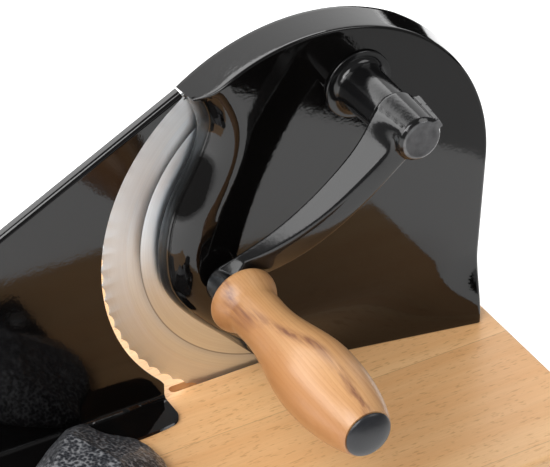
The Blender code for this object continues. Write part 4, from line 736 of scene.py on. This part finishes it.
def thicken(piece, wall):
    """Gives an open sheet its wall on the side away from the user, once its faces point to the user."""
    mesh = piece.data
    normals = np.zeros(len(mesh.polygons) * 3)
    mesh.polygons.foreach_get("normal", normals)
    if normals.reshape(-1, 3)[:, 1].mean() > 0:
        mesh.flip_normals()
    solid = piece.modifiers.new("Wall", "SOLIDIFY")
    solid.thickness = wall
    solid.offset = -1
    soft = piece.modifiers.new("Rolled edge", "BEVEL")
    soft.width = 0.35 * MM
    soft.segments = 2
    soft.limit_method = "ANGLE"
    soft.angle_limit = math.radians(60)


# Blade, hub and drive


def blade():
    """The disc: thickness by radius, and an outer edge at R - d |sin(36 a)|, thinner in each hollow."""
    edge_half = 0.2 * MM
    angles = np.linspace(0, 2 * math.pi, SCALLOPS * 12, endpoint=False)
    wave = np.abs(np.sin(angles * SCALLOPS / 2))
    rim = BLADE_RADIUS - SCALLOP_DEPTH * wave
    inner = np.array([10.5, 29.4, 60, 75.7, 76.0, 76.3, 80, 82.8, 83.2]) * MM
    dip = np.array([0, 0, 0, 0, 0.12, 0, 0, 0, 0.03]) * MM
    t = np.linspace(0, 1, 12)[1:, None]
    outer = GROUND_BAND + (rim - GROUND_BAND) * t
    radius = np.concatenate([np.repeat(inner[:, None], len(angles), axis=1), outer])
    slope = BLADE_HALF - dip[-1] - (BLADE_HALF - edge_half) * t**1.3
    hollow = 0.1 * MM * wave * np.clip((t - 0.55) / 0.45, 0, 1)
    half = np.concatenate([np.repeat((BLADE_HALF - dip)[:, None], len(angles), axis=1), slope - hollow])
    radius = np.concatenate([radius, radius[::-1]])
    depth = np.concatenate([half, -half[::-1]])
    points = np.stack([radius * np.cos(angles), BLADE_HEIGHT + radius * np.sin(angles), depth], axis=-1)
    faces = grid_faces(len(radius), len(angles), wrap_rows=True, wrap_columns=True)
    piece = object_of("blade_disc", placed(points).reshape(-1, 3), faces, "rotor", "blade_steel", ["blade"])
    piece.data.set_sharp_from_angle(angle=math.radians(24))


def drive_rounds():
    """The turned steel pieces of the drive that show from behind and below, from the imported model's sizes."""
    centre = np.array([0, BLADE_HEIGHT])
    hub = [(5.2, 7.05), (10.2, 7.05), (10.2, -1.05), (29, -1.05), (29, -2.65), (5.2, -2.65)]
    turned("blade_hub_turned", np.array(hub) * MM, centre, "rotor", "gear_steel", ["blade_hub"],
           edge=0.4 * MM)
    head = [(0, -6.55), (4.5, -6.45), (8.0, -5.6), (9.3, -4.6), (9.5, -3.25), (2.5, -3.25), (2.5, 5.75),
            (0, 5.75)]
    screw = turned("axle_screw_turned", np.array(head) * MM, centre, "base", "gear_steel", ["axle_screw"],
                   edge=0.5 * MM)
    notch(screw, centre, 2.0 * MM, -4.9 * MM)
    pin = [(0, 8.5), (1.9, 8.35), (3.2, 7.7), (3.2, 7.35), (1.6, 7.35), (1.6, -2.95), (3.2, -2.95),
           (3.2, -3.3), (1.9, -3.95), (0, -4.1)]
    for number, angle in enumerate((45, 135, 225, 315), 1):
        turned(f"blade_rivet_head_{number}", np.array(pin) * MM, polar(22.5 * MM, angle), "rotor",
               "screw_steel", [f"blade_rivet_{number}"], count=32, edge=0.5 * MM)


def notch(piece, centre, width, floor):
    """Cuts a coin slot across the back of a turned head."""
    beyond = 20 * MM
    low = placed([centre[0] - beyond, centre[1] - width / 2, floor])
    high = placed([centre[0] + beyond, centre[1] + width / 2, -beyond])
    corners = np.array([(x, y, z) for z in (low[2], high[2]) for y in (low[1], high[1])
                        for x in (low[0], high[0])])
    faces = [(0, 1, 3, 2), (4, 6, 7, 5), (0, 4, 5, 1), (2, 3, 7, 6), (0, 2, 6, 4), (1, 5, 7, 3)]
    tool = linked("slot_tool", mesh_of("slot_tool", corners, faces))
    cut = piece.modifiers.new("Cut", "BOOLEAN")
    cut.operation = "DIFFERENCE"
    cut.object = tool
    settle(piece)
    bpy.data.objects.remove(tool)


def bearing():
    """The crank's bearing: a cast sleeve with a tight fillet into a thin round foot on the face."""
    flare = bezier([11.0, 26.0], [11.2, 22.6], [12.4, 21.6], [15.7, 21.4], np.linspace(0, 1, 24))
    end = [[5.2, 48.0], [9.5, 48.0], [10.0, 47.5]]
    foot_and_spigot = [[16.0, 21.1], [16.0, 20.3], [7.5, 20.3], [7.5, 13.6], [5.2, 13.6]]
    profile = np.concatenate([end, flare, foot_and_spigot])
    turned("crank_bearing", profile * MM, CRANK, "base", "crank_paint", ["bearing_boss"], count=120)


# Crank arm

# How far the hub's front leans from its axis, towards the arm's lower right side, as the casting's draft
HUB_LEAN = 0.9 * MM * np.array([0.755, -0.655])


def rounded_box_ring(width, height, corner, count):
    """A rounded rectangle as (side, up) points: straight sides joined by quarter circles, evenly spread."""
    a = np.linspace(0, math.pi / 2, count)
    ring = []
    for turn, (side, up) in enumerate(((1, 1), (-1, 1), (-1, -1), (1, -1))):
        angle = a + turn * math.pi / 2
        ring.append(np.stack([side * (width - corner) + corner * np.cos(angle),
                              up * (height - corner) + corner * np.sin(angle)], axis=1))
    return np.concatenate(ring)


def arm_loft():
    """The swept bar: drafted sections across the line from the crank's axis to the handle's.

    Front and back lie on two curves, and a section widens evenly from its front to its back. Towards the
    hub its upper left side spreads and its front rises, by bell curves of the step, until it covers the
    hub's side. The front is crowned: it rises by c (1 - (x / w)^2) across its width, and leans so that its
    lower right edge stands nearer to the user.
    """
    def bell(height, middle, width):
        """A bell curve of the step, with its height in millimetres."""
        return height * MM * np.exp(-(((steps - middle) / width) ** 2))

    steps = np.linspace(0, 0.99, 120)
    front = MM * bezier(66.3, 62.0, 58.8, 35.7, np.minimum(steps / 0.87, 1)) + bell(1.6, 0, 0.08)
    back = MM * bezier(48.9, 52.34, 45.16, 24.9, np.minimum(steps / 0.95, 1))
    half = 5.3 * MM + 1.95 * MM * steps
    back_half = 9.5 * MM
    crown_height = 0.8 * MM
    lean = 2 * MM * np.clip(1 - (steps / 0.8) ** 2, 0, 1)
    front_spread = bell(4.2, 0, 0.07)
    back_spread = bell(2.2, 0.03, 0.1)
    throw = HANDLE - CRANK
    across = np.array([-throw[1], throw[0]]) / THROW
    rings = []
    for step, f, b, w, near, far, tilt in zip(steps, front, back, half, front_spread, back_spread, lean):
        height = (f - b) / 2
        ring = rounded_box_ring(w, height, 1.5 * MM, 8)
        loop = np.vstack([ring, ring[:1]])
        ring = along(loop, np.linspace(0, length_of(loop), 96, endpoint=False))
        side = ring[:, 0] / w
        crown = (crown_height * (1 - side**2) + tilt * (side + 1) / 2) * (ring[:, 1] > 0)
        depth = (height - ring[:, 1:]) / (2 * height)
        left = ring[:, :1] < 0
        width = np.where(left, w + near, w - 1.05 * tilt) * (1 - depth) + (back_half + far * left) * depth
        flat = CRANK + throw * step + across * side[:, None] * width
        rings.append(np.column_stack([flat, (f + b) / 2 + ring[:, 1] + crown]))
    return np.stack(rings)


def crank_arm():
    """The casting: bar, hub, eye and lug melted together.

    The hub's points lean by their share of its length.
    """
    rings = arm_loft()
    faces = capped_faces(*rings.shape[:2])
    points = [placed(rings).reshape(-1, 3)]
    hub = [(0, HUB_FRONT), (8.2, HUB_FRONT), (8.6, 70.2), (10.1, 68.4), (11.4, 49.1), (10.7, HUB_BACK),
           (0, HUB_BACK)]
    eye = [(0, 36.3), (9.0, 36.3), (9.8, 35.5), (9.8, 25.1), (9.0, 24.3), (0, 24.3)]
    for profile, centre in ((hub, CRANK), (eye, HANDLE)):
        more, quads = revolved(np.array(profile) * MM, centre, 72)
        if centre is CRANK:
            share = ((ORIGIN[1] - more[:, 1:2]) / MM - HUB_BACK) / (HUB_FRONT - HUB_BACK)
            more += (placed([*HUB_LEAN, 0]) - ORIGIN) * share
        faces += (quads + sum(len(p) for p in points)).tolist()
        points.append(more)
    lug, sides = lug_block()
    faces += [[corner + sum(len(p) for p in points) for corner in face] for face in sides]
    points.append(lug)
    mesh = mesh_of("crank_casting", np.concatenate(points), faces, 1e-7)
    casting("crank_casting", mesh, 0.42 * MM, 4, "crank", "crank_paint", ["crank_arm"])


def lug_block():
    """The lug along the hub: a wedge that stands out most at the back and runs down to the hub's front."""
    angle = math.radians(30)
    out = np.array([math.cos(angle), math.sin(angle)])
    side = np.array([-out[1], out[0]])
    half = 2.3
    outline = ((5, 49.9), (11, 49.9), (13.4, 51.8), (11.3, 70.1), (5, 70.1))
    corners = [[*(CRANK + (out * reach + side * offset) * MM), depth * MM]
               for offset in (-half, half) for reach, depth in outline]
    count = len(outline)
    faces = [list(range(count)), list(range(count, 2 * count))]
    faces += [[i, (i + 1) % count, (i + 1) % count + count, i + count] for i in range(count)]
    return placed(np.array(corners)), faces


# Handle


def grip_profile():
    """Radius along the grip: a rounded bead, cosines between knot, neck and belly, and an elliptic end."""
    share = np.linspace(0, 1, 180)
    bead_at, bead_radius, bead_length = 0.022, 15.5, 0.048
    belly_at, belly_radius, end_radius = 0.64, 17.7, 10.9
    knots = ((bead_at, bead_radius), (0.13, 11.75), (0.21, 11.6), (belly_at, belly_radius))
    reach = (1 - belly_at) / math.sqrt(1 - (end_radius / belly_radius) ** 2)
    radius = belly_radius * np.sqrt(np.clip(1 - ((share - belly_at) / reach) ** 2, 0, 1))
    for (start, low), (end, high) in zip(knots, knots[1:]):
        blend = (1 - np.cos(math.pi * (share - start) / (end - start))) / 2
        radius = np.where((share >= start) & (share <= end), low + (high - low) * blend, radius)
    bead = bead_radius * np.sqrt(np.clip(1 - ((bead_at - share) / bead_length) ** 2, 0, 1))
    return np.where(share < bead_at, bead, radius) * MM, GRIP_BACK + GRIP_LENGTH * share


def handle():
    """The wooden grip with its bore, the domed cap in its end, and the washer behind it."""
    radius, length = grip_profile()
    outside = np.stack([radius, length], axis=1)
    outside[0, 0] -= 0.5 * MM
    inside = np.array([(7.6, 141.9), (7.6, 129.9), (4.2, 129.9), (4.2, 37.9)]) * MM
    turned("wooden_grip", np.concatenate([outside, inside]), HANDLE, "handle", "turned_wood", ["handle_grip"],
           count=128, edge=0.2 * MM)
    a = np.linspace(0, math.pi / 2, 14)[:-1]
    dome = np.stack([10.4 * np.cos(a), 142.2 + 3.4 * np.sin(a)], axis=1)
    cap = np.concatenate([[(0, 145.6)], dome[::-1], [(7.3, 142.2), (7.3, 135.9), (0, 135.9)]])
    turned("handle_end_cap", cap * MM, HANDLE, "handle", "cap_plastic", ["handle_cap"], edge=0.3 * MM)
    washer = np.array([(4.3, 36.6), (9.8, 36.6), (9.8, 37.6), (4.3, 37.6)]) * MM
    turned("spindle_washer", washer, HANDLE, "crank", "screw_steel", ["handle_washer"], count=64)


# Stop plate and bracket

FOOT_CORNER = 5 * MM


def stop_edge(share):
    """The sheet's right edge, from the board to the tip: a short upright, then the arc round the blade."""
    upright = 0.07
    start = 1.5 * math.pi - math.asin(STOP_RIGHT / STOP_RADIUS)
    top = BLADE_HEIGHT + STOP_RADIUS * math.sin(start)
    angle = start + (math.radians(126.2) - start) * (share - upright) / (1 - upright)
    x = np.where(share < upright, -STOP_RIGHT, STOP_RADIUS * np.cos(angle))
    z = np.where(share < upright, top * share / upright, BLADE_HEIGHT + STOP_RADIUS * np.sin(angle))
    return np.stack([x, z], axis=-1)


def foot_reach(x):
    """How far the foot reaches forward at x, with its rounded corners and the tongue below the bracket."""
    corner = FOOT_CORNER
    tongue_reach = 106 * MM
    gap = np.where(x > TONGUE, np.maximum(0, -STOP_RIGHT - x), x + STOP_LEFT)
    reach = STOP_FRONT + 20 * MM - 3 * MM * np.exp(-gap / (2 * corner))
    round_off = corner - np.sqrt(np.maximum(corner**2 - np.maximum(corner - gap, 0) ** 2, 0))
    reach = reach - np.where(gap < corner, round_off, 0)
    return np.where(np.abs(x - TONGUE) <= TONGUE_HALF, tongue_reach, reach)


def stop_plate():
    """One folded sheet: u from the left end to the arc, v over the top fold, down and out on the board."""
    bend = 2.4 * MM
    foot_top = SEAT + SHEET
    slant = math.radians(27.7)
    slope = np.array([math.cos(slant), math.sin(slant)])
    rise = np.array([-slope[1], slope[0]])
    tip = stop_edge(np.array(1.0)) + np.array([0, 3.2 * MM])
    left_top = tip - slope * ((tip[0] + STOP_LEFT) / slope[0])
    span = STOP_LEFT - STOP_RIGHT
    edges = STOP_LEFT + TONGUE + np.array([-TONGUE_HALF, TONGUE_HALF])
    corner = FOOT_CORNER * (1 - np.cos(np.radians(np.arange(10, 91, 10))))
    marks = np.unique(np.concatenate([
        np.linspace(0, 1, 60), (edges - 0.05 * MM) / span, (edges + 0.05 * MM) / span,
        corner / span, 1 - corner / span,
    ]))
    top = left_top + (tip - left_top) * marks[:, None]
    turn = np.linspace(0, math.pi / 2, 9)
    flange = np.column_stack([top, np.full(len(marks), 0.1 * MM)])[:, None]
    inward = top[:, None] - rise * (bend * (1 - np.cos(turn)))[None, :, None]
    fold_depth = np.broadcast_to(STOP_FRONT - bend + bend * np.sin(turn), inward.shape[:2])
    fold = np.concatenate([inward, fold_depth[..., None]], axis=2)
    share = np.linspace(1, 0, 61)[1:-1]
    right = stop_edge(share)
    left = np.stack([np.full(len(share), -STOP_LEFT), (left_top[1] - bend) * share], axis=1)
    middle = left[None] + (right - left)[None] * marks[:, None, None]
    middle = np.concatenate([middle, np.full((*middle.shape[:2], 1), STOP_FRONT)], axis=2)
    x = (-STOP_LEFT + span * marks)[:, None]
    low_height = foot_top + bend * (1 - np.sin(turn))
    low_depth = STOP_FRONT + bend * (1 - np.cos(turn))
    low = np.stack(np.broadcast_arrays(x, low_height, low_depth), axis=2)
    out_depth = STOP_FRONT + bend + (foot_reach(x) - STOP_FRONT - bend) * np.linspace(0, 1, 5)[1:]
    out = np.stack(np.broadcast_arrays(x, foot_top, out_depth), axis=2)
    grid = np.concatenate([flange, fold, middle, low, out], axis=1)
    piece = object_of("stop_sheet", placed(grid).reshape(-1, 3), grid_faces(*grid.shape[:2]),
                      "stop", "sheet_paint", ["stop_plate"])
    thicken(piece, SHEET)


# The clamp casting's outline on the board and at its crown, as (x, -depth)
BASE_SIDE = np.array([
    (-117.5, -6.6), (-108.7, -6.7), (-106.2, -13.0), (-103.6, -17.6), (-99.2, -21.6), (-93.6, -27.0),
    (-90.8, -34.0), (-89.4, -45.5), (-92.0, -61.0), (-103.0, -64.0), (-127.0, -64.0), (-148.0, -63.0),
    (-156.0, -54.0), (-155.0, -42.0), (-146.0, -27.0), (-131.0, -15.0),
]) * MM
CROWN_SIDE = np.array([
    (-127.2, -28.0), (-126.0, -28.0), (-124.8, -31.5), (-123.2, -35.5), (-121.2, -40.5), (-119.2, -45.5),
    (-117.2, -50.5), (-115.3, -55.5), (-117.0, -58.5), (-121.0, -60.0), (-128.0, -60.0), (-140.0, -58.5),
    (-144.5, -53.0), (-143.5, -45.5), (-137.0, -38.5), (-131.5, -32.5),
]) * MM


def stop_bracket():
    """The cast mound, drawn in from its outline to its crown by a share of the height, and a low deck."""
    share = np.array([0, 0.14, 0.35, 0.65, 0.9, 1.0])
    shrink = np.array([0, 0.02, 0.22, 0.58, 0.92, 1.0])
    bottom, crown = 2.1 * MM, 22 * MM
    flat = BASE_SIDE[None] + (CROWN_SIDE - BASE_SIDE)[None] * shrink[:, None, None]
    height = np.broadcast_to((bottom + (crown - bottom) * share)[:, None], flat.shape[:2])
    grid = np.stack([flat[..., 0], height, -flat[..., 1]], axis=-1)
    faces = capped_faces(*grid.shape[:2])
    points = placed(grid).reshape(-1, 3)
    box = np.array([(x, z, d) for z in (2.4, 8) for d in (56, 104.5) for x in (-144, -110)]) * MM
    quads = np.array([[0, 2, 3, 1], [4, 5, 7, 6], [0, 1, 5, 4], [2, 6, 7, 3], [0, 4, 6, 2], [1, 3, 7, 5]])
    faces += (quads + len(points)).tolist()
    mesh = mesh_of("clamp_casting", np.concatenate([points, placed(box)]), faces)
    casting("clamp_casting", mesh, 0.7 * MM, 8, "stop", "hammertone_paint", ["stop_bracket"])


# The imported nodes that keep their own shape


def dress_nodes():
    """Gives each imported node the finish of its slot."""
    slots = {entry["node"]: entry["material_slot"] for entry in frame["record"]["subparts"]}
    for name, node in frame["nodes"].items():
        node.data.materials.clear()
        node.data.materials.append(FINISHES[slots[name]])


# Studio

CAMERA_TURN = math.radians(29.31)


def area_light(name, place, size, power, target=(0, 0, 0.08)):
    """A rectangular soft light at a place, turned to its target."""
    light = bpy.data.lights.new(name, "AREA")
    light.shape = "RECTANGLE"
    light.size, light.size_y = size
    light.energy = power
    holder = linked(name, light)
    holder.location = place
    aim = np.array(target) - np.array(place)
    tilt = math.atan2(math.hypot(aim[0], aim[1]), -aim[2])
    holder.rotation_euler = (tilt, 0, math.atan2(aim[1], aim[0]) - math.pi / 2)


def sheet(name, corners, height, colour, roughness):
    """A flat stage sheet facing up, and its material's shader, wiring and Object coordinates."""
    mesh = bpy.data.meshes.new(name)
    mesh.from_pydata([(x, y, height) for x, y in corners], [], [tuple(range(len(corners)))])
    laid = linked(name, mesh)
    paper, shader, w, where = finish(name, colour, roughness)
    mesh.materials.append(paper)
    return laid, shader, w, where


def reflected_card(name, outline, height, colour):
    """A card on the floor that only reflections show, with corners u to the camera's right and v ahead."""
    right = np.array([math.cos(CAMERA_TURN), -math.sin(CAMERA_TURN)])
    ahead = np.array([math.sin(CAMERA_TURN), math.cos(CAMERA_TURN)])
    corners = [tuple(right * u + ahead * v) for u, v in outline]
    card, shader, w, _ = sheet(name, corners, height, colour, 1.0)
    w.feed(shader, Specular_IOR_Level=0.0)
    card.visible_camera = card.visible_diffuse = card.visible_shadow = False


def studio():
    """A white floor, a black and a grey card to its right and behind for reflections, and five soft lights.

    The floor's glow makes up the white that its shade lacks, and more so far out for the camera. The black
    card's edge runs at u = 0.293 + 0.103 v, which the housing's face shows as its bright area's end.
    """
    side = 5.0
    corners = ((-side, -side), (side, -side), (side, side), (-side, side))
    _, shader, w, where = sheet("White paper floor", corners, -0.001, (0.86, 0.86, 0.86), 0.9)
    rays = w.node("ShaderNodeLightPath").outputs
    seen = w.plus(rays["Is Camera Ray"], rays["Is Glossy Ray"])
    seen = w.plus(seen, rays["Is Transmission Ray"], clamp=True)
    far_out = w.times(rays["Is Camera Ray"], w.spread(w.vector("LENGTH", where), 1.0, 2.5, 0, 0.55))
    w.feed(shader, Emission_Color=(1, 1, 1, 1), Emission_Strength=w.plus(w.times(seen, 0.45), far_out))

    near, behind, far, wide = -0.9, 0.6, 4.0, 2.6
    edge = [(0.293 + 0.103 * v, v) for v in (near, behind)]
    black = (edge[0], (wide, near), (wide, far), (-wide, far), (-wide, behind), edge[1])
    grey = ((0.29, -0.032), (0.9, -0.806), (0.9, behind), edge[1])
    reflected_card("Black flag", black, -0.0005, (0.004, 0.004, 0.004))
    reflected_card("Grey card", grey, -0.0003, (0.5, 0.5, 0.5))

    world = bpy.data.worlds.new("Studio")
    bpy.context.scene.world = world
    world.use_nodes = True
    w = Wiring(world.node_tree)
    strength = w.spread(w.node("ShaderNodeLightPath").outputs["Is Camera Ray"], 0, 1, 0.2, 1.0)
    w.feed(world.node_tree.nodes["Background"], Color=(1, 1, 1, 1), Strength=strength)

    area_light("key_softbox", (-0.9, -0.5, 1.25), (0.9, 0.9), 17)
    area_light("high_softbox", (0, 1.0, 1.18), (1.8, 0.6), 10, (0.05, -0.05, 0.16))
    area_light("left_panel", (-1.3, 0.3, 0.9), (1.9, 0.75), 17, (0.05, -0.05, 0.13))
    area_light("back_panel", (0.45, 1.45, 0.81), (4.6, 1.7), 23, (0.45, 0, 0.2))
    area_light("right_fill", (1.0, -0.7, 1.3), (0.8, 0.8), 6)


def camera():
    """The photograph's view, solved from the blade's circle and the board's edges. Its lens is in pixels."""
    width, height = 550, 467
    focal, axis_x, axis_y = 2621.4, 242.3, 244.0
    lens = bpy.data.cameras.new("camera")
    lens.sensor_width = 36
    lens.lens = lens.sensor_width * focal / width
    lens.shift_x = (width / 2 - axis_x) / width
    lens.shift_y = (axis_y - height / 2) / width
    holder = linked("camera", lens)
    holder.location = np.array([-484.0, -818.7, 748.7]) * MM + ORIGIN
    holder.rotation_euler = (math.radians(90 - 35.94), math.radians(0.05), -CAMERA_TURN)
    bpy.context.scene.camera = holder


camera()
dress_nodes()
housing()
blade()
drive_rounds()
bearing()
crank_arm()
handle()
stop_plate()
stop_bracket()
studio()

bpy.context.scene.view_settings.view_transform = "Standard"
